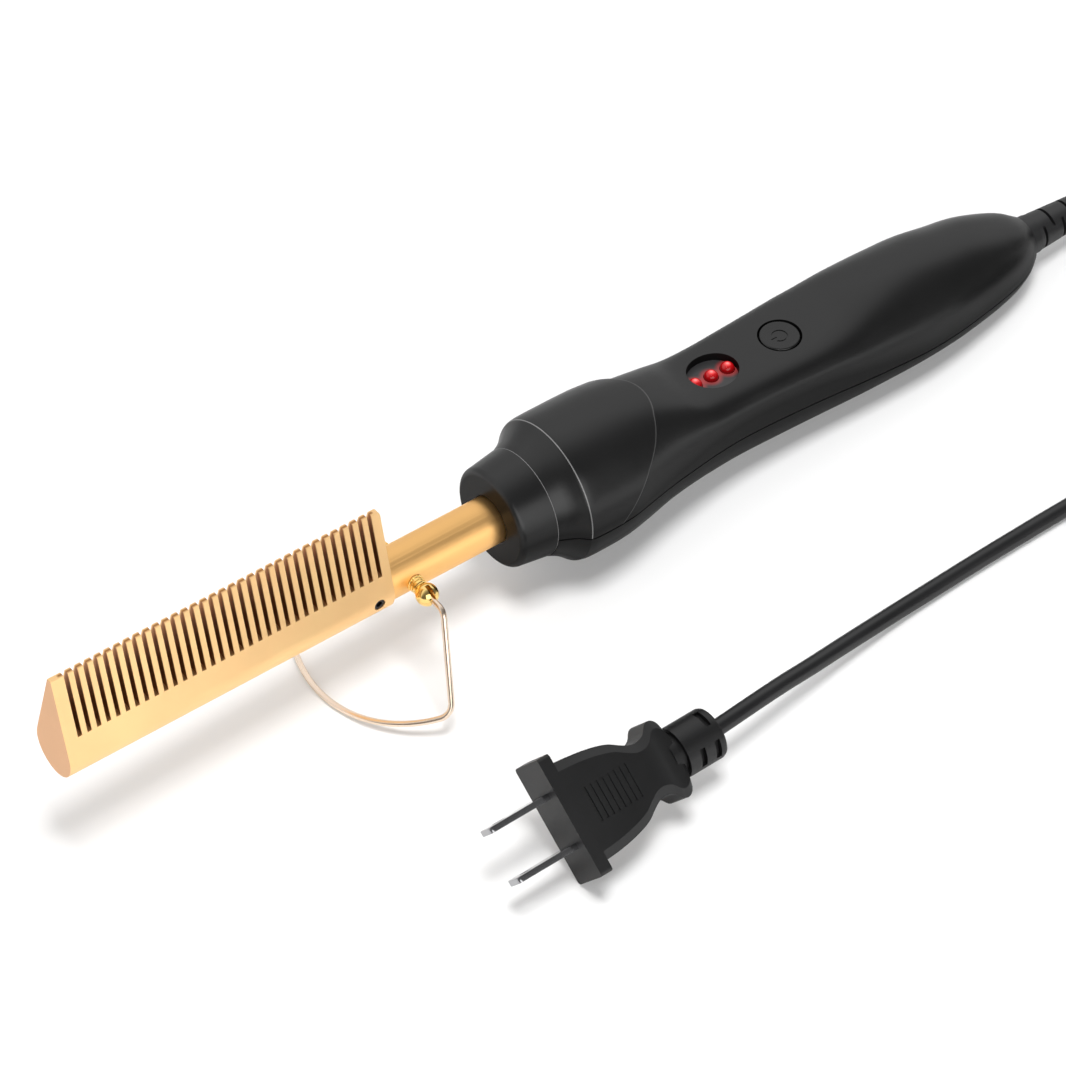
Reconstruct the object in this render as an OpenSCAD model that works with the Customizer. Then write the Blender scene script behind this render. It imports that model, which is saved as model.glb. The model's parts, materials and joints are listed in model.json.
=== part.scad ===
/* [Comb head] */
// Length of the comb head
head_len = 89.2; // [70:0.2:110]
// Radius of the round underside of the head
head_r = 6.8; // [6.6:0.1:9]
// Height of the tooth tips above the tube's axis
tooth_rise = 23; // [18:0.1:30]
// Width of the head across the tooth tips
tip_w = 1.4; // [1:0.1:2.4]
// Height of the slot bottoms above the tube's axis
slot_floor = 6.8; // [6.4:0.1:9]
// Number of slots between the teeth
slot_count = 33; // [20:1:36]
// Distance from one slot to the next
slot_pitch = 2.57; // [2:0.01:3]
// Width of one slot
slot_w = 1.15; // [0.8:0.05:1.5]
// Distance of the first slot from the front face
slot_start = 4; // [3:0.5:8]
// Radius of the bore for the heater
heater_bore_r = 4.1; // [3:0.1:4.4]
// Diameter of the set screw
set_screw_d = 3; // [2:0.5:4]

/* [Tube] */
// Outer diameter of the neck tube
tube_d = 12; // [11:0.5:13]
// Wall of the neck tube
tube_wall = 1; // [0.8:0.1:1.5]
// Outer diameter of the tube's reduced front end
spigot_d = 10; // [9:0.5:10.5]
// Length of the reduced end inside the head
spigot_len = 14; // [8:1:20]
// Bare length of tube between the head and the nose cap
bare_len = 32.4; // [20:0.2:60]

/* [Stand] */
// Diameter of the stand's wire
wire_d = 1.5; // [1.2:0.1:2.5]
// Distance of the stand's pivot behind the head
pivot_gap = 6.3; // [4:0.1:12]
// Distance from the pivot to the foot's lowest point
stand_reach = 36.1; // [32:0.1:42]
// Angle of that distance, forward of upright
stand_angle = 40; // [30:1:50]
// Half the width of the wire loop at its corners
stand_half_w = 29.5; // [26:0.5:40]
// Distance from the pivot down to the corners
corner_drop = 21.4; // [16:0.2:22]
// Angle of the legs, forward of upright
leg_lean = 17.5; // [10:1:28]
// How far the corner bends reach along the wire
corner_cut = 3; // [2:0.1:4]
// Half the width of the loop where its legs turn down
leg_half_w = 17; // [15:0.5:20]
// Diameter of the knurled pivot post
post_d = 4; // [3:0.1:4.5]
// Diameter of the post's slotted ball
ball_d = 5.6; // [4.6:0.1:6]

/* [Handle] */
// Length of the nose cap
cap_len = 9.7; // [7:0.1:14]
// Radius of the nose cap at its front face
cap_front_r = 12.9; // [11:0.1:14]
// Radius of the nose cap at its rear edge
cap_rear_r = 14; // [13:0.1:16]
// Radius of the handle's bulb
bulb_r = 18.5; // [17:0.1:21]
// Length of the handle behind the nose cap
handle_len = 155.3; // [140:1:190]
// Wall of the handle shells
shell_wall = 2.2; // [1.8:0.1:2.6]
// Height of the parting line against the tube's axis
seam_z = -1.5; // [-3:0.1:0]
// Gap between the two shells
seam_gap = 0.2; // [0.1:0.05:0.4]
// Height of the flat waist above the tube's axis
waist_z = 10.7; // [10.2:0.1:12]

/* [Controls] */
// Diameter of the power button
button_d = 10; // [8:0.5:11]
// Travel of the power button
button_travel = 0.4; // [0.3:0.1:0.8]
// Distance of the button behind the nose cap
button_pos = 77; // [70:1:90]
// Gap around the button
button_gap = 0.45; // [0.3:0.05:0.6]
// Length of the oval indicator window
window_len = 13.6; // [12:0.2:16]
// Width of the oval indicator window
window_w = 11.4; // [8:0.2:12]
// Depth of the window's recess
window_depth = 2.4; // [1.8:0.1:3]
// Diameter of an indicator light
led_d = 3.6; // [2.6:0.2:4]
// Distance between the lights
led_pitch = 4.9; // [4:0.1:5.2]

/* [Cord] */
// Diameter of the cord
cord_d = 4.2; // [4.2:0.1:4.2]
// Length of the strain relief outside the handle
relief_len = 36; // [25:1:45]
// Diameter of the strain relief at the handle
relief_d = 10.2; // [9:0.1:10.6]
// Mean diameter of the coil's turns
coil_d = 43; // [43:1:43]
// Turns that lie side by side in the coil
coil_cols = 3; // [3:1:3]
// Layers of turns in the coil
coil_layers = 4; // [4:1:4]

/* [Plug] */
// Width of the plug's flange
flange_w = 29.8; // [26:0.2:34]
// Height of the plug's flange
flange_h = 14; // [13:0.5:18]
// Length of the plug from its face to the cord
plug_len = 44; // [40:1:50]
// Distance between the two blades
blade_gap = 12.7; // [12.7:0.1:12.7]
// Length of a blade outside the plug
blade_len = 16.5; // [15.5:0.1:18]

/* [Hidden] */
$fn = 48;
eps = 0.01;
fit = 0.1;              // slip clearance between assembled pieces
hinge_fit = 0.05;       // radial running clearance of the stand's pivots

gold = [0.93, 0.73, 0.47];
bright_gold = [0.95, 0.74, 0.32];
wire_gold = [0.85, 0.76, 0.64];
black = [0.1, 0.1, 0.11];
soft_black = [0.07, 0.07, 0.08];
steel = [0.75, 0.76, 0.78];

// Stations along the tube's axis, counted from the comb's front face
tube_r = tube_d / 2;
cap_x = head_len + bare_len;
shell_x = cap_x + cap_len;
tail_x = shell_x + handle_len;
pivot_x = head_len + pivot_gap;
tube_front_x = head_len - spigot_len;
tube_rear_x = shell_x + 24;
button_x = shell_x + button_pos;
window_x = button_x - 20.6;
relief_end_x = tail_x + relief_len;
wire_joint_d = wire_d + 0.03;

// Grip stations: [x behind the nose cap, half width, top, bottom, squareness above, squareness below]
GRIP = [
    [12, bulb_r - 0.1, bulb_r - 0.2, -bulb_r + 0.1, 2, 2],
    [20, bulb_r - 0.3, bulb_r - 0.5, 0.25 - bulb_r, 2, 2],
    [27, bulb_r - 1.6, bulb_r - 1, 1.3 - bulb_r, 2.1, 2.1],
    [34, 15.3, 16.5, -14.9, 2.3, 2.2],
    [42, 14.2, 14.1, -13.9, 2.8, 2.3],
    [49, 13.4, waist_z + 0.7, -13.7, 3.7, 2.4],
    [57, 13, waist_z, -13.7, 4.3, 2.4],
    [68, 13.3, waist_z, -13.6, 4.6, 2.4],
    [82, 14.2, waist_z + 0.2, -13.4, 4.4, 2.3],
    [92, 15.1, waist_z + 1.2, -13.1, 3.3, 2.2],
    [102, 15.8, waist_z + 3.2, -12.5, 2.5, 2.1],
    [112, 16.2, waist_z + 4.3, -11.8, 2.1, 2],
    [122, 15.6, waist_z + 4.1, -11.5, 2.1, 2],
    [131, 14.3, waist_z + 2.9, -11.5, 2.1, 2],
    [139, 12.9, waist_z + 1.3, -10.8, 2.3, 2],
    [146, 11.1, waist_z - 0.7, -9.5, 2.3, 2],
    [151.5, 8.7, waist_z - 2.8, -7.7, 2.4, 2],
    [154.2, 6.8, waist_z - 4.3, -6.4, 2.3, 2],
    [155.3, 6, waist_z - 4.9, -5.9, 2.2, 2]
];

// Smooth curve through the stations: Hermite segments with slopes of the neighbours
function slope(t, i, c) =
    let (a = max(i - 1, 0), b = min(i + 1, len(t) - 1)) (t[b][c] - t[a][c]) / (t[b][0] - t[a][0]);
function hermite(t, i, x, c) =
    let (h = t[i + 1][0] - t[i][0], u = (x - t[i][0]) / h)
    t[i][c] * (2 * u * u * u - 3 * u * u + 1) + h * slope(t, i, c) * (u * u * u - 2 * u * u + u)
    + t[i + 1][c] * (3 * u * u - 2 * u * u * u) + h * slope(t, i + 1, c) * (u * u * u - u * u);
function segment(t, x, i = 0) = i >= len(t) - 2 || x <= t[i + 1][0] ? i : segment(t, x, i + 1);
function along(t, x) = let (i = segment(t, x)) [for (c = [1 : 5]) hermite(t, i, x, c)];

grip_end = GRIP[len(GRIP) - 1][0];
grip_scale = handle_len / grip_end;

// The circuit board hangs under the flat waist
board_x0 = window_x - 14;
board_x1 = button_x + 22;
board_t = 1.6;
board_z = waist_z - shell_wall - 4.2;

// Resting pose: the stand's wire and the rear of the handle lie on one plane
stand_tip_x = pivot_x - stand_reach * sin(stand_angle);
stand_tip_z = -stand_reach * cos(stand_angle) - wire_joint_d / 2;
heel_station = 134;
heel_x = shell_x + heel_station * grip_scale;
heel_z = along(GRIP, heel_station)[2];
rest_tilt = atan((heel_z - stand_tip_z) / (heel_x - stand_tip_x));
rest_height = -stand_tip_z * cos(rest_tilt) + stand_tip_x * sin(rest_tilt);
centre_x = (relief_end_x * cos(rest_tilt) - head_r * sin(rest_tilt)) / 2;

// Puts a piece that is drawn along the tube's axis into its resting place
module at_rest() {
    translate([-centre_x, 0, rest_height]) rotate([0, rest_tilt, 0]) children();
}

function unit(v) = v / norm(v);

// A cylinder along X from x0 to x1
module rod_x(x0, x1, r) {
    translate([x0, 0, 0]) rotate([0, 90, 0]) cylinder(r = r, h = x1 - x0);
}

// A solid of revolution about X from points [x, radius]
module turned_x(points) {
    rotate([0, 90, 0]) rotate([0, 0, 90]) rotate_extrude($fn = 96)
        polygon([for (p = points) [p[1], p[0]]]);
}

// ---------- comb head ----------

// Where the straight side of the head leaves the round underside
side_reach = norm([tip_w / 2, tooth_rise]);
side_angle = atan2(tooth_rise, tip_w / 2) - acos(head_r / side_reach);
side_y = head_r * cos(side_angle);
side_z = head_r * sin(side_angle);
set_screw_x = head_len - 4.2;
set_screw_turn = 3;     // the set screw's angle below the side, on the near side

module head_section() {
    circle(r = head_r, $fn = 96);
    polygon([[-side_y, side_z], [side_y, side_z], [tip_w / 2, tooth_rise], [-tip_w / 2, tooth_rise]]);
}

module comb_head() {
    color(gold) at_rest() difference() {
        rotate([90, 0, 90]) linear_extrude(head_len) head_section();
        for (i = [0 : slot_count - 1])
            translate([slot_start + i * slot_pitch - slot_w / 2, -head_r - 2, slot_floor])
                cube([slot_w, 2 * head_r + 4, tooth_rise]);
        rod_x(heater_start_x - 1, head_len - spigot_len + eps, heater_bore_r);
        rod_x(tube_front_x - fit, head_len + 1, spigot_d / 2 + fit);
        set_screw_place() translate([0, 0, spigot_d / 2 - 1]) cylinder(d = set_screw_d, h = head_r);
    }
}

// Local +Z points out of the head through the set screw
module set_screw_place() {
    translate([set_screw_x, 0, 0]) rotate([90 + set_screw_turn, 0, 0]) children();
}

module head_set_screw() {
    color(black) at_rest() set_screw_place() translate([0, 0, spigot_d / 2 + 0.02]) difference() {
        cylinder(d = set_screw_d - 0.1, h = head_r - spigot_d / 2 - 0.35);
        translate([0, 0, 0.5]) cylinder(d = set_screw_d * 0.58, h = head_r, $fn = 6);
    }
}

// ---------- heater inside the head and tube ----------

heater_start_x = 6;
heater_end_x = head_len - spigot_len - 2;
lead_d = 1.6;
lead_z = board_z - board_t - lead_d / 2 - fit;

module heater_rod() {
    color("ivory") at_rest() {
        rod_x(heater_start_x, heater_end_x, heater_bore_r - 0.2);
    }
}

// Two insulated leads run back through the tube to the underside of the board
module heater_leads() {
    color("white") at_rest() for (side = [-1, 1])
        translate([0, side * 1.6, lead_z]) rod_x(heater_end_x, board_x0 + 2, lead_d / 2);
}

// A bead behind the heater, on a thin pair of wires that slopes up to the board
module heat_sensor() {
    run = [board_x0 + 1.5 - heater_end_x, lead_z + 2.4];
    color("sienna") at_rest() translate([heater_end_x, 0, -2.4]) {
        rod_x(0, 4, 1.1);
        rotate([0, -atan2(run[1], run[0]), 0]) rod_x(2, norm(run), 0.6);
    }
}

// ---------- neck tube ----------

module neck_tube() {
    spigot_r = spigot_d / 2;
    color(gold) at_rest() difference() {
        turned_x([[tube_front_x, spigot_r - tube_wall], [tube_front_x, spigot_r], [head_len, spigot_r],
                  [head_len + 0.1, tube_r], [tube_rear_x, tube_r], [tube_rear_x, tube_r - tube_wall],
                  [head_len + 1, tube_r - tube_wall], [head_len, spigot_r - tube_wall]]);
        translate([pivot_x, 0, 0]) rotate([90, 0, 0])
            cylinder(d = post_d * 0.7, h = 4 * tube_r, center = true);
        for (side = [-1, 1]) translate([pivot_x, side * (post_seat + tube_r), 0]) rotate([90, 0, 0])
            cylinder(d = post_d + 0.2, h = 2 * tube_r, center = true);
    }
}

// ---------- stand ----------

post_len = 3;
post_seat = tube_r - 0.25;    // small flats on the tube that the posts stand on
ball_y = tube_r + post_len + ball_d * 0.3;
stub_y = ball_y - ball_d * 0.3;

// The loop, with its pivot at the origin: two legs, and a foot that is bent further forward
side_dir = [0, 1, 0];
leg_drop = corner_drop * [-sin(leg_lean), 0, -cos(leg_lean)];
foot_tip = stand_reach * [-sin(stand_angle), 0, -cos(stand_angle)];
foot_dir = unit(foot_tip - leg_drop);
foot_depth = norm(foot_tip - leg_drop);
leg_top = leg_half_w * side_dir;
corner = leg_drop + stand_half_w * side_dir;
leg_dir = unit(corner - leg_top);

// The foot is an arc whose tangent at each end passes through the corner
arc_drop = (pow(foot_depth, 2) + pow(corner_cut, 2) - pow(stand_half_w, 2)) / (2 * foot_depth);
arc_r = foot_depth - arc_drop;
arc_start = atan2(-arc_drop, stand_half_w) + atan(corner_cut / arc_r);
arc_dir = cos(arc_start) * side_dir + sin(arc_start) * foot_dir;
arc_entry = cos(arc_start) * foot_dir - sin(arc_start) * side_dir;

// An arc of wire about a centre: from the direction `from`, turning towards `to`
module wire_arc(centre, r, from, to, angle) {
    n = cross(from, to);
    turn = atan2(n[1], n[0]);
    tip = acos(n[2]);
    spin = atan2(from[1] * cos(turn) - from[0] * sin(turn),
                 (from[0] * cos(turn) + from[1] * sin(turn)) * cos(tip) - from[2] * sin(tip));
    translate(centre) rotate([0, tip, turn]) rotate([0, 0, spin]) rotate_extrude(angle = angle, $fn = 96)
        translate([r, 0]) circle(d = wire_d, $fn = 24);
}

// Rounds the corner at p, where the wire turns from the direction `before` to `after`
module wire_bend(p, before, after, cut) {
    angle = acos(before * after);
    r = cut / tan(angle / 2);
    inward = unit(after - (after * before) * before);
    wire_arc(p - cut * before + r * inward, r, -inward, before, angle);
}

module wire_run(p, q) {
    d = unit(q - p);
    translate(p) rotate([0, acos(d[2]), atan2(d[1], d[0])]) cylinder(d = wire_d, h = norm(q - p), $fn = 24);
}

// Rounds over the joint between two runs of wire
module wire_joint(p) {
    translate(p) sphere(d = wire_joint_d, $fn = 24);
}

leg_bend_cut = 1.8;

module half_loop() {
    foot_centre = leg_drop + arc_drop * foot_dir;
    turn_in = leg_top - leg_bend_cut * side_dir;
    turn_out = leg_top + leg_bend_cut * leg_dir;
    corner_in = corner - corner_cut * leg_dir;
    corner_out = corner + corner_cut * arc_entry;
    wire_run(stub_y * side_dir, turn_in);
    wire_bend(leg_top, side_dir, leg_dir, leg_bend_cut);
    wire_run(turn_out, corner_in);
    wire_bend(corner, leg_dir, arc_entry, corner_cut);
    wire_arc(foot_centre, arc_r, arc_dir, arc_entry, 90 - arc_start);
    for (p = [turn_in, turn_out, corner_in, corner_out, foot_tip]) wire_joint(p);
}

module stand_wire() {
    color(wire_gold) at_rest() translate([pivot_x, 0, 0]) union() {
        half_loop();
        mirror([0, 1, 0]) half_loop();
    }
}

module stand_post() {
    slot = 0.9;
    groove_w = 0.35;
    knurl_r = 0.3;
    translate([pivot_x, 0, 0]) rotate([90, 0, 0]) difference() {
        union() {
            translate([0, 0, tube_r - tube_wall - 1.2]) cylinder(d = post_d * 0.7 - 0.1, h = 3);
            translate([0, 0, post_seat]) cylinder(d = post_d, h = ball_y - post_seat, $fn = 32);
            translate([0, 0, ball_y]) sphere(d = ball_d, $fn = 48);
        }
        translate([0, 0, stub_y - 0.3]) cylinder(d = wire_d + 2 * hinge_fit, h = ball_d);
        translate([-slot / 2, -ball_d, ball_y - 0.3]) cube([slot, 2 * ball_d, ball_d]);
        for (i = [0 : 1]) translate([0, 0, post_seat + 0.9 + i * 0.9]) difference() {
            cylinder(d = post_d + 1, h = groove_w);
            cylinder(d = post_d - 0.5, h = groove_w);
        }
        for (i = [0 : 11]) rotate([0, 0, i * 30])
            translate([post_d / 2 + 0.1, 0, post_seat + 0.4]) cylinder(r = knurl_r, h = 2.2, $fn = 16);
    }
}

module stand_post_near() {
    color(bright_gold) at_rest() stand_post();
}

module stand_post_far() {
    color(bright_gold) at_rest() mirror([0, 1, 0]) stand_post();
}

// ---------- nose cap and what holds the tube ----------

cap_round = 1.6;
spigot_wall = 1.8;

module nose_cap() {
    bore = tube_r + fit;
    ring_r = cap_rear_r - shell_wall - fit;
    color(black) at_rest() turned_x([
        [cap_x, bore], [cap_x, cap_front_r - cap_round],
        for (a = [15 : 15 : 90]) [cap_x + cap_round * (1 - cos(a)), cap_front_r - cap_round * (1 - sin(a))],
        [shell_x, cap_rear_r], [shell_x, ring_r], [shell_x + 5, ring_r],
        [shell_x + 5, ring_r - spigot_wall], [shell_x - 1.5, ring_r - spigot_wall], [shell_x - 1.5, bore]
    ]);
}

rib_x0 = shell_x + 9;
rib_x1 = shell_x + 12;
bush_r = tube_r + 4.4;

// A heat-resisting bush carries the tube; the shells' rib sits in its groove
module tube_bush() {
    bore = tube_r + fit;
    color("tan") at_rest() turned_x([
        [rib_x0 - 2, bore], [rib_x0 - 2, bush_r + 2], [rib_x0 - fit, bush_r + 2], [rib_x0 - fit, bush_r],
        [rib_x1 + fit, bush_r], [rib_x1 + fit, bush_r + 2], [rib_x1 + 2, bush_r + 2], [rib_x1 + 2, bore]
    ]);
}

// A spring ring on the tube keeps it from pulling out of the bush
module tube_clip() {
    color(steel) at_rest() difference() {
        rod_x(rib_x1 + 2 + fit, rib_x1 + 3.2, tube_r + 2.5);
        rod_x(rib_x1, rib_x1 + 6, tube_r + 0.05);
    }
}

// ---------- handle shells ----------

// One ring of the grip: a superellipse with its own top and bottom about the parting line
function signed_pow(v, e) = sign(v) * pow(abs(v), e);
function ring(x, s, inset, sides) = [for (k = [0 : sides - 1])
    let (a = 360 * k / sides, up = sin(a) >= 0, n = up ? s[3] : s[4], b = up ? s[1] - seam_z : seam_z - s[2])
    [x, (s[0] - inset) * signed_pow(cos(a), 2 / n), seam_z + (b - inset) * signed_pow(sin(a), 2 / n)]];

// A closed skin over equal rings of points
module skin(rings) {
    m = len(rings[0]);
    n = len(rings);
    polyhedron(
        points = [for (r = rings) for (p = r) p],
        faces = [
            [for (k = [0 : m - 1]) k],
            [for (k = [m - 1 : -1 : 0]) (n - 1) * m + k],
            for (j = [0 : n - 2]) for (k = [0 : m - 1]) let (k2 = (k + 1) % m)
                each [[j * m + k, (j + 1) * m + k, (j + 1) * m + k2], [j * m + k, (j + 1) * m + k2, j * m + k2]]
        ]);
}

module grip(inset, x0, x1, steps, sides) {
    skin([for (i = [0 : steps]) let (x = x0 + (x1 - x0) * i / steps)
        ring(shell_x + x * grip_scale, along(GRIP, x), inset, sides)]);
}

// The bulb is turned; a slanting cut lets the grip grow out of it
module bulb(inset) {
    w = inset;
    turned_x([
        [shell_x + (w > 0 ? 1 : 0), 0], [shell_x + (w > 0 ? 1 : 0), cap_rear_r - w - 0.2],
        [shell_x + 1.2, cap_rear_r + 0.4 - w], [shell_x + 3.2, cap_rear_r + 1.4 - w],
        [shell_x + 4.9, cap_rear_r + 2.6 - w], [shell_x + 6.1, bulb_r - 0.7 - w],
        [shell_x + 7.1, bulb_r - 0.2 - w], [shell_x + 11, bulb_r - w], [shell_x + 19, bulb_r - w],
        [shell_x + 24, bulb_r - 0.1 - w], [shell_x + 29, bulb_r - 0.5 - w], [shell_x + 34, bulb_r - 1.3 - w],
        [shell_x + 39, bulb_r - 2.3 - w], [shell_x + 42, bulb_r - 3.1 - w], [shell_x + 42, 0]
    ]);
}

crease_x = shell_x + 15.5;
crease_end_x = crease_x + 34;
module bulb_cut(inset) {
    intersection() {
        bulb(inset);
        translate([-inset, 0, 0]) rotate([90, 0, 0]) linear_extrude(80, center = true) polygon([
            [shell_x - 1, -30], [crease_x, -30], [crease_x, seam_z], [crease_x + 9.3, 9],
            [crease_x + 17, 15.7], [crease_end_x, 26], [shell_x - 1, 26]]);
    }
}

module handle_outer() {
    union() {
        bulb_cut(0);
        grip(0, 14, grip_end, 30, 32);
    }
}

module handle_hollow() {
    union() {
        bulb_cut(shell_wall);
        grip(shell_wall, 12.6 / grip_scale, grip_end - 4.5, 16, 20);
    }
}

module above_seam() {
    translate([shell_x - 20, -40, seam_z + seam_gap / 2]) cube([220, 80, 60]);
}

module below_seam() {
    translate([shell_x - 20, -40, seam_z - seam_gap / 2 - 60]) cube([220, 80, 60]);
}

module tube_and_cord_way() {
    rod_x(shell_x - 1, shell_x + 7, cap_rear_r - shell_wall);
    rod_x(tail_x - 8, tail_x + 5, relief_d / 2 + fit);
    rod_x(tail_x - 8, tail_x - 4.4, relief_flange_r + fit);
}

window_floor = waist_z - window_depth;
led_y = 0.4;

module window_oval(grow) {
    translate([window_x, 0, 0]) scale([window_len + 2 * grow, window_w + 2 * grow, 1])
        cylinder(d = 1, h = 40, $fn = 72);
}

// Screw bosses: [x behind the nose cap, distance from the middle]
BOSSES = [[24, tube_r + 4.2], [118, 7.5]];
boss_d = 6.4;
screw_d = 2.6;
screw_head_d = 4.8;
head_seat_z = seam_z - 5.5;

module at_bosses() {
    for (b = BOSSES) for (side = [-1, 1]) translate([shell_x + b[0], side * b[1], 0]) children();
}

// A bulkhead whose round opening sits in the bush's groove
module bush_rib() {
    difference() {
        rod_x(rib_x0, rib_x1, bulb_r - 1);
        rod_x(rib_x0 - 1, rib_x1 + 1, bush_r + fit);
    }
}

module board_posts() {
    for (x = BOARD_SCREW_X) translate([x, 0, board_z]) cylinder(d = 5, h = 12);
}

module upper_shell() {
    color(black) at_rest() difference() {
        union() {
            difference() {
                intersection() {
                    handle_outer();
                    above_seam();
                }
                handle_hollow();
            }
            intersection() {
                grip(0.4, 16, 125, 22, 24);
                union() {
                    translate([0, 0, window_floor - 1.5]) window_oval(1.6);
                    board_posts();
                    translate([0, 0, seam_z + seam_gap / 2]) at_bosses() cylinder(d = boss_d, h = 20);
                }
            }
            intersection() {
                bush_rib();
                above_seam();
            }
        }
        tube_and_cord_way();
        translate([0, 0, window_floor]) window_oval(0);
        for (i = [-1 : 1]) translate([window_x + i * led_pitch, led_y, 0])
            cylinder(d = led_d + 2 * fit, h = 20);
        translate([button_x, 0, 0]) cylinder(d = button_d + 2 * button_gap, h = 30);
        at_bosses() translate([0, 0, seam_z - 1]) cylinder(d = screw_d, h = 7);
        for (x = BOARD_SCREW_X) translate([x, 0, board_z - 1]) cylinder(d = board_screw_d, h = 4);
    }
}

module lower_shell() {
    color(black) at_rest() difference() {
        union() {
            difference() {
                intersection() {
                    handle_outer();
                    below_seam();
                }
                handle_hollow();
            }
            intersection() {
                grip(0.4, 16, 150, 24, 24);
                union() {
                    translate([0, 0, seam_z - seam_gap / 2 - 20]) at_bosses() cylinder(d = boss_d, h = 20);
                    translate([clamp_x - 1.5, -4, -20]) cube([3, 8, 20 - cord_d / 2 - 0.02]);
                    clamp_bosses() translate([0, 0, -20]) cylinder(d = 4.4, h = 20 + clamp_z - 0.02);
                }
            }
            intersection() {
                bush_rib();
                below_seam();
            }
        }
        tube_and_cord_way();
        at_bosses() {
            translate([0, 0, -30]) cylinder(d = screw_head_d, h = 30 + head_seat_z);
            translate([0, 0, -30]) cylinder(d = screw_d + 2 * fit, h = 30);
        }
        clamp_bosses() translate([0, 0, clamp_z - 5]) cylinder(d = clamp_screw_d, h = 6);
    }
}

module shell_screws() {
    color(steel) at_rest() at_bosses() difference() {
        union() {
            translate([0, 0, head_seat_z - 2]) cylinder(d = screw_head_d - 0.3, h = 2);
            translate([0, 0, head_seat_z - 1]) cylinder(d = screw_d - 0.1, h = seam_z + 6 - head_seat_z);
        }
        translate([-1.5, -0.3, head_seat_z - 2.1]) cube([3, 0.6, 1]);
        translate([-0.3, -1.5, head_seat_z - 2.1]) cube([0.6, 3, 1]);
    }
}

// ---------- board, lights and button ----------

board_w = 18;
board_screw_d = 1.8;
BOARD_SCREW_X = [board_x0 + 4, board_x1 - 4];

module circuit_board() {
    color("darkgreen") at_rest() difference() {
        translate([board_x0, -board_w / 2, board_z - board_t]) cube([board_x1 - board_x0, board_w, board_t]);
        for (x = BOARD_SCREW_X) translate([x, 0, 0]) cylinder(d = board_screw_d + 2 * fit, h = 20);
    }
}

module board_screws() {
    color(steel) at_rest() for (x = BOARD_SCREW_X) translate([x, 0, board_z - board_t - 1.4]) {
        cylinder(d = 3.6, h = 1.4);
        cylinder(d = board_screw_d - 0.1, h = 5.4);
    }
}

module led(i) {
    dome_z = window_floor - board_z;
    color("red") at_rest() translate([window_x + i * led_pitch, led_y, board_z]) {
        cylinder(d = led_d, h = dome_z);
        translate([0, 0, dome_z]) sphere(d = led_d, $fn = 32);
    }
}

module led_1() { led(-1); }
module led_2() { led(0); }
module led_3() { led(1); }

// The button's collar stays under the shell; its stem meets the switch's plunger
button_top = waist_z + 0.3;
collar_top = waist_z - shell_wall - 0.45;
collar_t = 1;
switch_h = 1.9;
switch_floor = 0.3;
plunger_d = 3.2;
plunger_z = board_z + switch_floor + button_travel + fit;

module power_button() {
    color(black) at_rest() translate([button_x, 0, 0]) difference() {
        union() {
            translate([0, 0, collar_top - collar_t]) cylinder(d = button_d + 1.6, h = collar_t);
            translate([0, 0, collar_top - collar_t])
                cylinder(d = button_d, h = button_top - collar_top + collar_t);
        }
        translate([0, 0, button_top + 39.6]) sphere(r = 40, $fn = 96);
    }
}

module switch_plunger() {
    color("ivory") at_rest() translate([button_x, 0, plunger_z])
        cylinder(d = plunger_d, h = collar_top - collar_t - plunger_z);
}

module button_switch() {
    color("dimgray") at_rest() translate([button_x, 0, board_z]) difference() {
        translate([-3, -3, 0]) cube([6, 6, switch_h]);
        translate([0, 0, switch_floor]) cylinder(d = plunger_d + 0.12, h = switch_h);
    }
}

module power_triac() {
    color("black") at_rest() translate([button_x + 4, -5, board_z - board_t - 4.4]) cube([10, 10, 4.4]);
}

module film_capacitor() {
    color("darkred") at_rest() translate([window_x - 8, -6, board_z - board_t - 7]) cube([13, 12, 7]);
}

cord_end_x = tail_x - 33;
clamp_x = tail_x - 28;
clamp_z = cord_d / 2;
clamp_screw_d = 2;

module clamp_bosses() {
    for (side = [-1, 1]) translate([clamp_x, side * 5.2, 0]) children();
}

module mains_leads() {
    color("white") at_rest() for (side = [-1, 1])
        translate([0, side, lead_z - 0.2]) rod_x(board_x1 - 1.8, cord_end_x, 0.8);
}

// The stretch of cord inside the handle and the strain relief
module cord_inner() {
    color(soft_black) at_rest() rod_x(cord_end_x, relief_end_x, cord_d / 2);
}

module cord_clamp() {
    color("dimgray") at_rest() difference() {
        translate([clamp_x - 3, -7.6, clamp_z]) cube([6, 15.2, 2]);
        clamp_bosses() cylinder(d = clamp_screw_d + 2 * fit, h = 20);
    }
}

module clamp_screws() {
    color(steel) at_rest() clamp_bosses() {
        translate([0, 0, clamp_z + 2]) cylinder(d = 3.6, h = 1.4);
        translate([0, 0, clamp_z - 4]) cylinder(d = clamp_screw_d - 0.1, h = 6.5);
    }
}

// ---------- strain relief and cord ----------

relief_tip_d = cord_d + 1.8;
relief_bore = cord_d / 2 + 0.02;
relief_flange_r = relief_d / 2 + 0.9;
relief_slots = 10;
relief_slot_w = 0.8;
relief_slot_pitch = (relief_len - 8) / (relief_slots - 1);
relief_step = 0.15;

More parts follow.
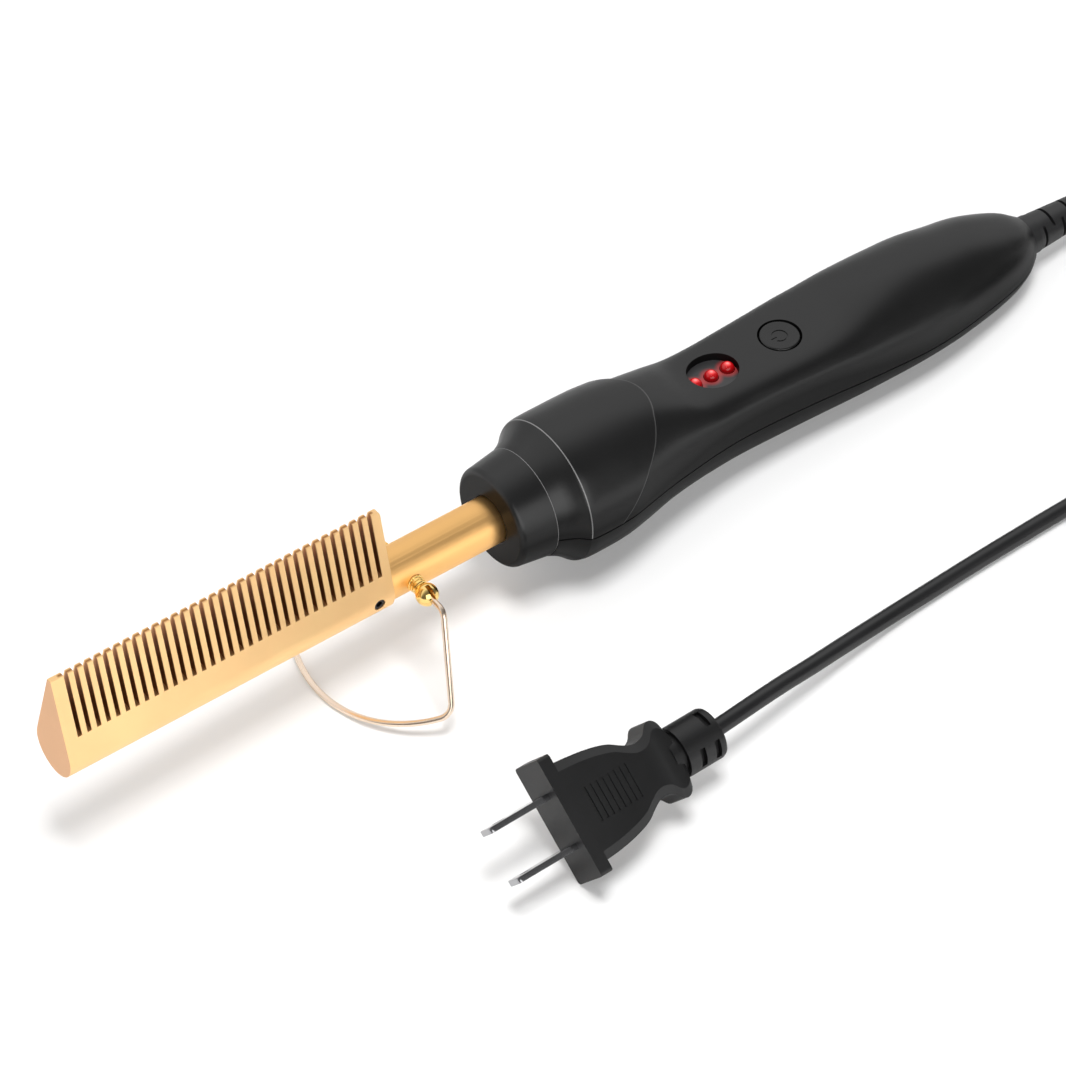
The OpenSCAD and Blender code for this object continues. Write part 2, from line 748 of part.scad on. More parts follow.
// Pairs of slots, each pair a quarter turn on from the last, let the sleeve bend
module strain_relief() {
    taper = (relief_d - relief_tip_d) / 2 / (relief_len - 2);
    color(soft_black) at_rest() difference() {
        turned_x([[tail_x - 7, relief_bore], [tail_x - 7, relief_flange_r], [tail_x - 4.5, relief_flange_r],
                  [tail_x - 4.5, relief_d / 2], [tail_x + 2.8, relief_d / 2],
                  [tail_x + 2.8, relief_d / 2 - relief_step], [relief_end_x - 0.6, relief_tip_d / 2],
                  [relief_end_x, relief_tip_d / 2 - 0.6], [relief_end_x, relief_bore]]);
        for (i = [0 : relief_slots - 1]) {
            x = 4 + i * relief_slot_pitch;
            bridge = max((relief_d / 2 - (x - 2) * taper) * 0.58, relief_bore + 0.4);
            translate([tail_x + x, 0, 0]) rotate([i % 2 == 0 ? 90 : 0, 0, 0]) for (side = [-1, 1])
                translate([0, -10, side * (bridge + 5) - 5]) cube([relief_slot_w, 20, 10]);
        }
    }
}

// The plug lies on one long edge of its flange, rolled and pitched a little by its springy cord
collar_d = 12.8;
flange_t = 3.2;
flange_round = 1;
plug_roll = 36.5;
plug_pitch = 3;
plug_rise = ((flange_w / 2 - flange_round) * sin(plug_roll) + (flange_h / 2 - flange_round) * cos(plug_roll)
    + flange_round) * cos(plug_pitch) + flange_t * sin(plug_pitch);
plug_exit = [-33, -74.6, plug_rise - plug_len * sin(plug_pitch)];

// Points of the free cord on the surface that the comb stands on
lay_z = cord_d / 2 + 0.05;
relief_exit = [relief_end_x * cos(rest_tilt) - centre_x, 0, rest_height - relief_end_x * sin(rest_tilt)];
CORD_OUT = [relief_exit, [168, 0, 5.6], [175, -1.5, 4.9], [182, -6, 4], [187, -14, 3.1],
            [189, -25, 2.4], [190, -38, lay_z], [190.2, -56, lay_z]];
CORD_BACK = [[164.5, -77.5, 14.7], [152, -77.8, 13.6], [138, -77.1, 10.4], [122, -75, 6], [106, -72, 3.1],
             [92, -69.9, 2.3], [79, -69, lay_z], [59, -68.4, lay_z], [48, -68.2, lay_z], [38, -68.2, 2.3],
             [28, -68.4, 2.8], [19, -69, 3.8], [9, -70, 5.4], [-1, -71.3, 7.4], [-10, -72.4, 9.3],
             [-18, -73.4, 10.7], [-26, -74.2, 11.6], plug_exit];
coil_c = [164.5, -56];

// A tube of eight sides swept along a list of points
function path_dir(p, i) = unit(p[min(i + 1, len(p) - 1)] - p[max(i - 1, 0)]);
function tube_ring(p, i, r) =
    let (d = path_dir(p, i), s = unit(cross([0, 0, 1], d)), u = cross(d, s))
    [for (k = [0 : 7]) p[i] + r * (cos(45 * k) * s + sin(45 * k) * u)];
function curve_point(p, i, t) =
    let (a = p[max(i - 1, 0)], b = p[i], c = p[i + 1], d = p[min(i + 2, len(p) - 1)])
    0.5 * (2 * b + (c - a) * t + (2 * a - 5 * b + 4 * c - d) * t * t + (3 * b - a - 3 * c + d) * t * t * t);
function curve(p, n) =
    [for (i = [0 : len(p) - 2]) for (k = [0 : n - 1]) curve_point(p, i, k / n), p[len(p) - 1]];

module swept_cord(points, n) {
    p = curve(points, n);
    skin([for (i = [0 : len(p) - 1]) tube_ring(p, i, cord_d / 2)]);
}

module cord_lead() { color(soft_black) swept_cord(CORD_OUT, 2); }
module cord_tail() { color(soft_black) swept_cord(CORD_BACK, 2); }

module cord_coil() {
    w = coil_cols * cord_d;
    color(soft_black) translate([coil_c[0], coil_c[1], 0]) rotate_extrude($fn = 96)
        translate([coil_d / 2 - w / 2, 0]) square([w, coil_layers * cord_d]);
}

// ---------- plug ----------

// Local X runs from the plug's face to its cord, local Y across its two blades
module plug_place() {
    translate([plug_exit[0] - plug_len * cos(plug_pitch), plug_exit[1], plug_rise])
        rotate([0, plug_pitch, 0]) rotate([plug_roll, 0, 0]) children();
}

// Stations of the moulded body: [x from the face, half width, half thickness]
PLUG = [[3, 12.4, 6.9], [8, 12, 6.8], [13, 11.2, 6.6], [17.5, 9.9, 6.3], [20.5, 8.1, 6.1], [22.5, 7.1, 6],
        [24.6, 6.9, 5.9], [26.6, 7.7, 5.9], [28, 9.4, 6], [29.5, 9.7, 6], [31, 8.4, 5.9], [31.6, 6.4, 5.8]];
plug_chamfer = [2.2, 1.3];

// One section of the body: a rectangle whose long edges are chamfered
function plug_ring(x) =
    let (i = segment(PLUG, x), w = hermite(PLUG, i, x, 1), t = hermite(PLUG, i, x, 2),
         flat = w - plug_chamfer[0], edge = t - plug_chamfer[1])
    [for (p = [[w, edge], [flat, t], [-flat, t], [-w, edge], [-w, -edge], [-flat, -t], [flat, -t], [w, -edge]])
        [x, p[0], p[1]]];

module plug_form() {
    steps = 22;
    x0 = PLUG[0][0];
    x1 = PLUG[len(PLUG) - 1][0];
    skin([for (i = [0 : steps]) plug_ring(x0 + (x1 - x0) * i / steps)]);
}

module plug_flange() {
    rotate([90, 0, 90]) linear_extrude(flange_t) union() {
        square([flange_w - 2 * flange_round, flange_h], center = true);
        square([flange_w, flange_h - 2 * flange_round], center = true);
        for (y = [-1, 1]) for (z = [-1, 1])
            translate([y * (flange_w / 2 - flange_round), z * (flange_h / 2 - flange_round)])
                circle(r = flange_round);
    }
}

// Fine grooves across both broad sides give the fingers a grip
module plug_grip() {
    groove_count = 8;
    groove_pitch = 1.65;
    groove_w = 0.7;
    groove_depth = 0.4;
    groove_len = 8.6;
    for (side = [0, 1]) mirror([0, 0, side]) for (i = [0 : groove_count - 1]) {
        x = 6.4 + i * groove_pitch;
        top = hermite(PLUG, segment(PLUG, x), x, 2);
        translate([x, -groove_len / 2, top - groove_depth]) cube([groove_w, groove_len, 5]);
    }
}

// A groove and two rows of slits let the collar bend with the cord
module collar_slots() {
    slit_w = 1.5;
    slit_len = 5;
    slit_depth = 1.4;
    difference() {
        rod_x(31.6, 33.2, collar_d);
        rod_x(31, 34, collar_d / 2 - 1.2);
    }
    for (row = [[36.3, [40, 220]], [40.5, [-40, 40, 140, 220]]]) for (turn = row[1])
        rotate([turn, 0, 0]) translate([row[0], -slit_len / 2, collar_d / 2 - slit_depth])
            cube([slit_w, slit_len, collar_d]);
}

module plug_body() {
    color(soft_black) plug_place() difference() {
        union() {
            plug_flange();
            plug_form();
            rod_x(30, plug_len, collar_d / 2);
        }
        for (side = [-1, 1]) translate([-1, side * blade_gap / 2 - 0.75, -3.175]) cube([9, 1.5, 6.35]);
        plug_grip();
        collar_slots();
    }
}

module plug_blade(side) {
    color(steel) plug_place() difference() {
        translate([-blade_len, side * blade_gap / 2 - 0.75, -3.175]) cube([blade_len + 8, 1.5, 6.35]);
        translate([-blade_len + 4, side * blade_gap / 2, 0]) rotate([90, 0, 0])
            cylinder(d = 3.2, h = 4, center = true);
    }
}

module plug_blade_near() { plug_blade(-1); }
module plug_blade_far() { plug_blade(1); }

comb_head();
head_set_screw();
heater_rod();
heater_leads();
heat_sensor();
neck_tube();
stand_post_near();
stand_post_far();
stand_wire();
nose_cap();
tube_bush();
tube_clip();
upper_shell();
lower_shell();
shell_screws();
led_1();
led_2();
led_3();
power_button();
switch_plunger();
button_switch();
circuit_board();
board_screws();
power_triac();
film_capacitor();
mains_leads();
cord_inner();
cord_clamp();
clamp_screws();
strain_relief();
cord_lead();
cord_coil();
cord_tail();
plug_body();
plug_blade_near();
plug_blade_far();
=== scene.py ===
import json
import math

import bmesh
import bpy
from mathutils import Matrix, Vector


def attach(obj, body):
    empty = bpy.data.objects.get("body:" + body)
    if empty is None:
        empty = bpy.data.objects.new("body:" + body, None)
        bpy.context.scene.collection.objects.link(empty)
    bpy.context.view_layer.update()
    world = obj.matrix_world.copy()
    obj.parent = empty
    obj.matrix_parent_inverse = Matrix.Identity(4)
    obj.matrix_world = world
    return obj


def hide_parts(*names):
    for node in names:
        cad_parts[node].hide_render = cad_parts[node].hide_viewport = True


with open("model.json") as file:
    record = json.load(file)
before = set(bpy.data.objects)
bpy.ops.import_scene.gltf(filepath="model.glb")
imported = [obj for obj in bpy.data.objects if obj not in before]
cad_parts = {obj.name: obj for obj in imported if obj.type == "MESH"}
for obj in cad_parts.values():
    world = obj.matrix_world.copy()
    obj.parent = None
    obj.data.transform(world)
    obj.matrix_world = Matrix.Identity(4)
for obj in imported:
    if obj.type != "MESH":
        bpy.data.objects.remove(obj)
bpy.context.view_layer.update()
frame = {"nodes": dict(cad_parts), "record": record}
nodes = frame["nodes"]
scene = bpy.context.scene


# ---------------------------------------------------------------- camera
# A long lens high above the comb's tip, so that the comb runs from the lower left
# of the picture to the cord at the upper right.

CAMERA_PLACE = (-0.45406, -0.62619, 0.88611)
CAMERA_RIGHT = (0.79409, -0.60603, -0.04639)
CAMERA_UP = (0.48339, 0.58342, 0.65266)
CAMERA_BACK = (-0.36846, -0.54069, 0.75623)

bpy.ops.object.select_all(action="DESELECT")
bpy.ops.object.camera_add()
camera = bpy.context.object
turn = Matrix((CAMERA_RIGHT, CAMERA_UP, CAMERA_BACK)).transposed().to_4x4()
camera.matrix_world = Matrix.Translation(CAMERA_PLACE) @ turn
camera.data.sensor_width = 36
camera.data.lens = 165.37
camera.data.clip_end = 10
scene.camera = camera


# ---------------------------------------------------------------- mains cord
# Two-core flexible cord, 4.2 mm across, in a smooth black PVC sheath. It leaves the
# strain relief, is wound into a neat coil for storage and runs on to its plug.

CORD_D = 0.0042
CORD_OUT = [(0.160971, 0, 0.006224), (0.168, 0, 0.0056), (0.175, -0.0015, 0.0049), (0.182, -0.006, 0.004),
            (0.187, -0.014, 0.0031), (0.189, -0.025, 0.0024), (0.190, -0.038, 0.00215),
            (0.1902, -0.056, 0.00215)]
CORD_BACK = [(0.1645, -0.0775, 0.0147), (0.152, -0.0778, 0.0136), (0.138, -0.0771, 0.0104),
             (0.122, -0.075, 0.006), (0.106, -0.072, 0.0031), (0.092, -0.0699, 0.0023),
             (0.079, -0.069, 0.00215), (0.059, -0.0684, 0.00215), (0.048, -0.0682, 0.00215),
             (0.038, -0.0682, 0.0023), (0.028, -0.0684, 0.0028), (0.019, -0.069, 0.0038),
             (0.009, -0.070, 0.0054), (-0.001, -0.0713, 0.0074), (-0.010, -0.0724, 0.0093),
             (-0.018, -0.0734, 0.0107), (-0.026, -0.0742, 0.0116), (-0.033, -0.0746, 0.011936)]
COIL_CENTRE = (0.1645, -0.056)
COIL_R = 0.0215
COIL_CELLS = [(2, 0), (1, 0), (0, 0), (0, 1), (1, 1), (2, 1), (2, 2), (1, 2), (0, 2), (0, 3), (1, 3), (1, 3)]
COIL_TURNS = 11.25
COIL_LIFT = 0.00005
STEP_OVER = 0.14
STEPS_PER_TURN = 36


def smooth_step(t):
    t = min(max(t, 0), 1)
    return t * t * (3 - 2 * t)


def line_through(points, parts):
    """A smooth line through given points."""
    line = []
    for i in range(len(points) - 1):
        a, b, c, d = (Vector(points[min(max(k, 0), len(points) - 1)]) for k in (i - 1, i, i + 1, i + 2))
        for k in range(parts):
            t = k / parts
            line.append(0.5 * (2 * b + (c - a) * t + (2 * a - 5 * b + 4 * c - d) * t**2
                               + (3 * b - a - 3 * c + d) * t**3))
    return line + [Vector(points[-1])]


def coil_point(turns):
    """The cord's place after so many turns: each turn lies a diameter beside or above the last."""
    cell = min(int(turns), len(COIL_CELLS) - 2)
    part = smooth_step((turns - cell - 1 + STEP_OVER) / STEP_OVER)
    column, layer = (a + (b - a) * part for a, b in zip(COIL_CELLS[cell], COIL_CELLS[cell + 1]))
    r = COIL_R + (column - 1) * CORD_D
    angle = -2 * math.pi * turns
    return Vector((COIL_CENTRE[0] + r * math.cos(angle), COIL_CENTRE[1] + r * math.sin(angle),
                   CORD_D * (layer + 0.5) + COIL_LIFT))


def only(piece):
    bpy.ops.object.select_all(action="DESELECT")
    piece.select_set(True)
    bpy.context.view_layer.objects.active = piece
    return piece


def cord_tube(name, line, diameter, resolution):
    """A round cord along a line, as a mesh."""
    curve = bpy.data.curves.new(name, "CURVE")
    curve.dimensions = "3D"
    curve.bevel_depth = diameter / 2
    curve.bevel_resolution = resolution
    curve.use_fill_caps = True
    spline = curve.splines.new("POLY")
    spline.points.add(len(line) - 1)
    for point, place in zip(spline.points, line):
        point.co = (*place, 1)
    spline.use_smooth = True
    tube = bpy.data.objects.new(name, curve)
    scene.collection.objects.link(tube)
    only(tube)
    bpy.ops.object.convert(target="MESH")
    tube = bpy.context.object
    tube.name = name
    return tube


coil = [coil_point(i / STEPS_PER_TURN) for i in range(1, int(COIL_TURNS * STEPS_PER_TURN))]
cord_line = line_through(CORD_OUT, 4) + coil + line_through(CORD_BACK, 4)
mains_cord = cord_tube("mains_cord", cord_line, CORD_D, 6)


def give(piece, finish, body, *replaced, slot=None):
    """Puts a finish on a piece, sets it on its body and lets it stand for CAD nodes."""
    piece.data.materials.clear()
    piece.data.materials.append(finish)
    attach(piece, body)
    if replaced:
        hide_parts(*replaced)
    return piece


def fill(tree, node, inputs):
    """Sets or links a node's inputs."""
    for key, value in inputs.items():
        if isinstance(value, bpy.types.NodeSocket):
            tree.links.new(value, node.inputs[key])
        else:
            node.inputs[key].default_value = value
    return node


def set_node(tree, kind, inputs=None, **settings):
    """Adds a node, sets its options and fills its inputs."""
    node = tree.nodes.new(kind)
    for key, value in settings.items():
        setattr(node, key, value)
    return fill(tree, node, inputs or {})


def calc(tree, operation, *values):
    """The result of a sum on numbers or other nodes' outputs."""
    return set_node(tree, "ShaderNodeMath", dict(enumerate(values)), operation=operation).outputs[0]


def calc_all(tree, operation, first, *others):
    """The same sum carried on over any number of values."""
    for other in others:
        first = calc(tree, operation, first, other)
    return first


def rescaled(tree, value, low, high, to_low=0.0, to_high=1.0, **settings):
    """A value whose range from low to high becomes that from to_low to to_high."""
    ends = {"Value": value, "From Min": low, "From Max": high, "To Min": to_low, "To Max": to_high}
    return set_node(tree, "ShaderNodeMapRange", ends, **settings).outputs[0]


def noise(tree, place, scale, detail, roughness=0.5):
    wave = {"Vector": place, "Scale": scale, "Detail": detail, "Roughness": roughness}
    return set_node(tree, "ShaderNodeTexNoise", wave).outputs["Fac"]


def surface_group(name, inputs, make):
    """A shader node group; make(tree, inputs, place) gives its roughness, height, base colour and tone."""
    group = bpy.data.node_groups.new(name, "ShaderNodeTree")
    inputs = [("Base", "NodeSocketColor", (0.5, 0.5, 0.5, 1)), ("Roughness", "NodeSocketFloat", 0.4), *inputs]
    for label, kind, default in inputs:
        group.interface.new_socket(label, in_out="INPUT", socket_type=kind).default_value = default
    for label, kind in (("Color", "Color"), ("Roughness", "Float"), ("Height", "Float")):
        group.interface.new_socket(label, in_out="OUTPUT", socket_type="NodeSocket" + kind)
    into = group.nodes.new("NodeGroupInput").outputs
    place = set_node(group, "ShaderNodeTexCoord").outputs["Object"]
    spread, amount, tone, height = make(group, into, place)
    swing = calc(group, "SUBTRACT", spread, 0.5)
    rough = calc(group, "MULTIPLY_ADD", swing, amount, into["Roughness"])
    tint = set_node(group, "ShaderNodeVectorMath", {0: into["Base"], "Scale": tone}, operation="SCALE")
    set_node(group, "NodeGroupOutput", {"Color": tint.outputs[0], "Roughness": rough, "Height": height})
    return group


def moulded_skin(tree, into, place):
    """Spark-eroded moulding texture with soft patches where hands and tools have polished it."""
    patches = noise(tree, place, 55.0, 4.0, 0.65)
    return (patches, into["Patchiness"], rescaled(tree, patches, 0.3, 0.7, 0.88, 1.12),
            noise(tree, place, into["Grain per metre"], 3.0, 0.6))


PATCHINESS = 0.12
PAINTED_SHADE_RIM_SHARE = 0.15
MOULDED_RELIEF = 0.00005
MOULDED = surface_group("moulded skin", [("Grain per metre", "NodeSocketFloat", 5000.0),
                                         ("Patchiness", "NodeSocketFloat", PATCHINESS)], moulded_skin)


def new_finish(name):
    """A new material, with its node tree and its shader."""
    m = bpy.data.materials.new(name)
    m.use_nodes = True
    return m, m.node_tree, m.node_tree.nodes["Principled BSDF"]


def grouped_finish(name, group, values, bump, relief):
    """A new material whose colour, roughness and bumps come from a node group."""
    m, t, shader = new_finish(name)
    skin = set_node(t, "ShaderNodeGroup", values, node_tree=group).outputs
    height = set_node(t, "ShaderNodeBump", {"Height": skin["Height"], "Strength": bump, "Distance": relief})
    fill(t, shader, {"Base Color": skin["Color"], "Roughness": skin["Roughness"], "Normal": height.outputs[0]})
    return m, t, shader


def moulded_finish(name, base, roughness, grain=5000.0, bump=0.12, sheen_level=0.5, painted_shade_flank_share=1.0):
    """A moulded plastic or rubber with painted shade: its sheen fades towards grazing rims, and its flanks and
    underside keep only a share of its top's sheen.
    """
    values = {"Base": (*base, 1), "Roughness": roughness, "Patchiness": PATCHINESS, "Grain per metre": grain}
    m, t, shader = grouped_finish(name, MOULDED, values, bump, MOULDED_RELIEF)
    # Painted shade: the reflection is turned down towards grazing rims and on flanks and underside, so that
    # these read darker.
    facing = set_node(t, "ShaderNodeLayerWeight", {"Blend": 0.5}).outputs["Facing"]
    painted_rim_shade = rescaled(t, facing, 0.25, 0.75, sheen_level, PAINTED_SHADE_RIM_SHARE * sheen_level)
    axes = set_node(t, "ShaderNodeSeparateXYZ", {0: set_node(t, "ShaderNodeNewGeometry").outputs["Normal"]})
    painted_flank_shade = rescaled(t, axes.outputs["Z"], 0.05, 0.45, painted_shade_flank_share)
    fill(t, shader, {"Specular IOR Level": calc(t, "MULTIPLY", painted_rim_shade, painted_flank_shade)})
    return m


black_sheath = moulded_finish("black cord sheath", (0.008, 0.008, 0.0085), 0.3, grain=3000.0, bump=0.05)
give(mains_cord, black_sheath, "comb", "cord_lead", "cord_coil", "cord_tail", slot="cord_sheath")


# ---------------------------------------------------------------- toothed head
# The comb: an extruded bar, round below and drawn up to a narrow ridge, with slots sawn
# across the ridge. It is turned and milled from brass, bead-blasted and satin plated.

TILT = math.radians(5.06171)
REST = Matrix.Translation((-0.160371, 0, 0.0346869)) @ Matrix.Rotation(TILT, 4, "Y")
ALONG = (0, math.pi / 2, 0)
HEAD_LEN = 0.0892
HEAD_R = 0.0068
SIDE_Y = 0.006554
SIDE_Z = 0.001811
TOOTH_RISE = 0.023
TIP_W = 0.0014
RIDGE_ROUND = 0.0011
SLOT_FLOOR = 0.0068
SLOT_COUNT = 33
SLOT_PITCH = 0.00257
SLOT_W = 0.00115
SLOT_START = 0.004
SPIGOT_R = 0.005
SPIGOT_LEN = 0.014
HEATER_FROM = 0.006
HEATER_BORE_R = 0.0041
SET_SCREW_BORE_R = 0.0015
SET_SCREW_BACK = 0.0042
SET_SCREW_LEAN = 93
END_DEPTH = 0.0001
FIT = 0.0001
NEAR = 0.00001


def edit(piece, mode="VERT"):
    only(piece)
    bpy.ops.object.mode_set(mode="EDIT")
    bpy.ops.mesh.select_mode(type=mode)


def pick(piece, kind, wanted):
    """Selects only the wanted ones of a piece's edges or faces."""
    bpy.ops.mesh.select_all(action="DESELECT")
    shape = bmesh.from_edit_mesh(piece.data)
    for part in getattr(shape, kind):
        if wanted(part):
            part.select_set(True)
    bmesh.update_edit_mesh(piece.data)


def done():
    bpy.ops.object.mode_set(mode="OBJECT")


def round_edges(piece, wanted, width, segments):
    """Rounds only the wanted edges and leaves edit mode."""
    pick(piece, "edges", wanted)
    bpy.ops.mesh.bevel(offset=width, segments=segments, affect="EDGES")
    done()


def place_applied(piece, name):
    piece.name = name
    bpy.ops.object.transform_apply(location=True, rotation=True, scale=True)
    return piece


def box(name, low, high):
    """A block from its lowest to its highest corner."""
    bpy.ops.object.select_all(action="DESELECT")
    middle = [(a + b) / 2 for a, b in zip(low, high)]
    bpy.ops.mesh.primitive_cube_add(size=1, location=middle, scale=[b - a for a, b in zip(low, high)])
    return place_applied(bpy.context.object, name)


def bar(name, start, end, radius, sides=64):
    """A round bar between two points."""
    bpy.ops.object.select_all(action="DESELECT")
    way = Vector(end) - Vector(start)
    bpy.ops.mesh.primitive_cylinder_add(vertices=sides, radius=radius, depth=way.length,
                                        location=(Vector(start) + Vector(end)) / 2,
                                        rotation=way.to_track_quat("Z", "Y").to_euler())
    return place_applied(bpy.context.object, name)


def apply_all(piece):
    only(piece)
    for modifier in list(piece.modifiers):
        bpy.ops.object.modifier_apply(modifier=modifier.name)
    return piece


def cut(piece, tool, operation="DIFFERENCE"):
    """Cuts, joins or crops a piece with a tool, which is then thrown away."""
    modifier = piece.modifiers.new("cut", "BOOLEAN")
    modifier.operation = operation
    modifier.solver = "EXACT"
    modifier.object = tool
    apply_all(piece)
    bpy.data.objects.remove(tool)
    return piece


def drill(piece, start, end, radius, sides=64):
    return cut(piece, bar("drill", start, end, radius, sides))


def break_edges(piece, width, segments=2, from_angle=35, smooth=None):
    """Small rounds on the sharp edges, and normals that keep the flats flat."""
    if width:
        bevel = piece.modifiers.new("edges", "BEVEL")
        bevel.width = width
        bevel.segments = segments
        bevel.limit_method = "ANGLE"
        bevel.angle_limit = math.radians(from_angle)
        bevel.use_clamp_overlap = True
        apply_all(piece)
    only(piece)
    bpy.ops.object.shade_smooth_by_angle(angle=math.radians(smooth or from_angle))
    weigh = piece.modifiers.new("normals", "WEIGHTED_NORMAL")
    weigh.keep_sharp = True
    apply_all(piece)
    return piece


def set_down(piece, place):
    """Moves a piece to its place and leaves that place in its mesh."""
    piece.matrix_world = place
    return place_applied(only(piece), piece.name)


def settle(piece):
    """From the tube's own axis to the resting place."""
    return set_down(piece, REST)


head = bar("toothed_head", (0, 0, 0), (HEAD_LEN, 0, 0), HEAD_R, sides=96)
edit(head, "FACE")
bpy.ops.mesh.select_all(action="SELECT")
bpy.ops.mesh.bisect(plane_co=(0, 0, SIDE_Z), plane_no=(0, 0, 1), use_fill=True, clear_outer=True,
                    threshold=1e-7)
pick(head, "faces", lambda face: all(abs(v.co.z - SIDE_Z) < NEAR for v in face.verts))
bpy.ops.mesh.extrude_region_move(TRANSFORM_OT_translate={"value": (0, 0, TOOTH_RISE - SIDE_Z)})
bpy.ops.transform.resize(value=(1, TIP_W / 2 / SIDE_Y, 1), center_override=(HEAD_LEN / 2, 0, TOOTH_RISE))
bpy.ops.mesh.select_mode(type="EDGE")
rear, ridge = HEAD_LEN - NEAR, TOOTH_RISE - NEAR
round_edges(head, lambda line: all(v.co.x > rear and v.co.z > ridge for v in line.verts), RIDGE_ROUND, 5)

saw = box("saw", (SLOT_START - SLOT_W / 2, -0.01, SLOT_FLOOR), (SLOT_START + SLOT_W / 2, 0.01, 0.03))
row = saw.modifiers.new("row", "ARRAY")
row.count = SLOT_COUNT
row.use_relative_offset = False
row.use_constant_offset = True
row.constant_offset_displace = (SLOT_PITCH, 0, 0)
apply_all(saw)
cut(head, saw)
screw_dir = Matrix.Rotation(math.radians(SET_SCREW_LEAN), 3, "X") @ Vector((0, 0, 1))
screw_seat = Vector((HEAD_LEN - SET_SCREW_BACK, 0, 0))
drill(head, (HEATER_FROM, 0, 0), (HEAD_LEN - 0.01, 0, 0), HEATER_BORE_R)
drill(head, (HEAD_LEN - SPIGOT_LEN - FIT, 0, 0), (HEAD_LEN + 0.001, 0, 0), SPIGOT_R + FIT)
drill(head, screw_seat + 0.004 * screw_dir, screw_seat + 0.012 * screw_dir, SET_SCREW_BORE_R)
break_edges(head, 0.00014, from_angle=40)
settle(head)


def plated_skin(tree, into, place):
    """Fine drawn grain along the work and slow changes of tone in the plating."""
    drawn = set_node(tree, "ShaderNodeMapping", {"Vector": place, "Scale": (0.06, 1.0, 1.0)})
    grain = noise(tree, drawn.outputs[0], 6000.0, 2.0)
    return grain, into["Grain"], rescaled(tree, noise(tree, place, 60.0, 3.0), 0.3, 0.7, 0.96, 1.03), grain


PLATED_RELIEF = 0.00003
PLATED = surface_group("plated metal", [("Grain", "NodeSocketFloat", 0.08)], plated_skin)


def plated_finish(name, base, roughness, grain=0.08, bump=0.06, turned_marks=0.0):
    """A plated metal; a turned part's fine marks run round it and spread its highlights lengthwise."""
    values = {"Base": (*base, 1), "Roughness": roughness, "Grain": grain}
    m, t, shader = grouped_finish(name, PLATED, values, bump, PLATED_RELIEF)
    fill(t, shader, {"Metallic": 1})
    if turned_marks:
        round_the_axis = set_node(t, "ShaderNodeTangent", direction_type="RADIAL", axis="X")
        fill(t, shader, {"Anisotropic": turned_marks, "Tangent": round_the_axis.outputs[0]})
    return m


def finish_faces(piece, finish, chosen):
    """A second finish on some faces, chosen by their middle along the tube's own axis."""
    piece.data.materials.append(finish)
    back = REST.inverted()
    for face in piece.data.polygons:
        if chosen(back @ face.center):
            face.material_index = len(piece.data.materials) - 1


satin_gold = plated_finish("satin gold plate", (0.98, 0.6, 0.25), 0.42)


def own_place(tree):
    """A point's place in the tube's own axes, as the comb was before it was laid down."""
    place = set_node(tree, "ShaderNodeTexCoord").outputs["Object"]
    moved = set_node(tree, "ShaderNodeVectorMath", {0: place, 1: REST.translation}, operation="SUBTRACT")
    return set_node(tree, "ShaderNodeVectorRotate", {"Vector": moved.outputs[0], "Angle": -TILT},
                    rotation_type="Y_AXIS").outputs[0]


def paint_over(finish, mask, colour):
    """Lays a colour over a finish where the mask says so."""
    t = finish.node_tree
    shader = t.nodes["Principled BSDF"]
    under = shader.inputs["Base Color"].links[0].from_socket
    mix = set_node(t, "ShaderNodeMix", data_type="RGBA")
    fill(t, mix, {0: mask, 6: under, 7: (*colour, 1)})
    fill(t, shader, {"Base Color": mix.outputs[2]})
    return finish


def paint_slot_shade(finish):
    """Painted shade in the sawn slots, where the teeth shade each other: a dark brown laid by how far a point
    lies inside the head's sides.
    """
    t = finish.node_tree
    axes = set_node(t, "ShaderNodeSeparateXYZ", {"Vector": own_place(t)}).outputs
    slope = (SIDE_Y - TIP_W / 2) / (TOOTH_RISE - SIDE_Z)
    side = calc(t, "MULTIPLY_ADD", axes["Z"], -slope, SIDE_Y + slope * SIDE_Z)
    inside = calc(t, "SUBTRACT", side, calc(t, "ABSOLUTE", axes["Y"]))
    high = rescaled(t, axes["Z"], SLOT_FLOOR - 0.0003, SLOT_FLOOR + 0.0002)
    deep = rescaled(t, inside, 0.0001, 0.0006)
    front = rescaled(t, axes["X"], 0.002, 0.0025)
    rear = rescaled(t, axes["X"], HEAD_LEN - 0.0013, HEAD_LEN - 0.0018)
    # Painted shade: the dark brown laid in the slots.
    return paint_over(finish, calc_all(t, "MULTIPLY", high, deep, front, rear), (0.42, 0.19, 0.065))


comb_plate = paint_slot_shade(plated_finish("comb plate", (1.0, 0.665, 0.325), 0.48, grain=0.05, bump=0.05))
give(head, comb_plate, "comb", "comb_head", slot="satin_gold")
# Painted shade: the front end face gets a darker copy of the plate, so that it reads darker than the sides.
finish_faces(head, plated_finish("end plate with painted shade", (0.72, 0.43, 0.24), 0.5, grain=0.05, bump=0.05),
             lambda middle: middle.x < END_DEPTH)


# ---------------------------------------------------------------- set screw
# A blackened steel grub screw with a hexagon socket, run in from below the head's near
# side so that its foot bears on the tube and holds the head on.

SET_SCREW_R = 0.00145
SET_SCREW_LEN = 0.00145
SOCKET_FLOOR = 0.0005
SOCKET_R = 0.00087

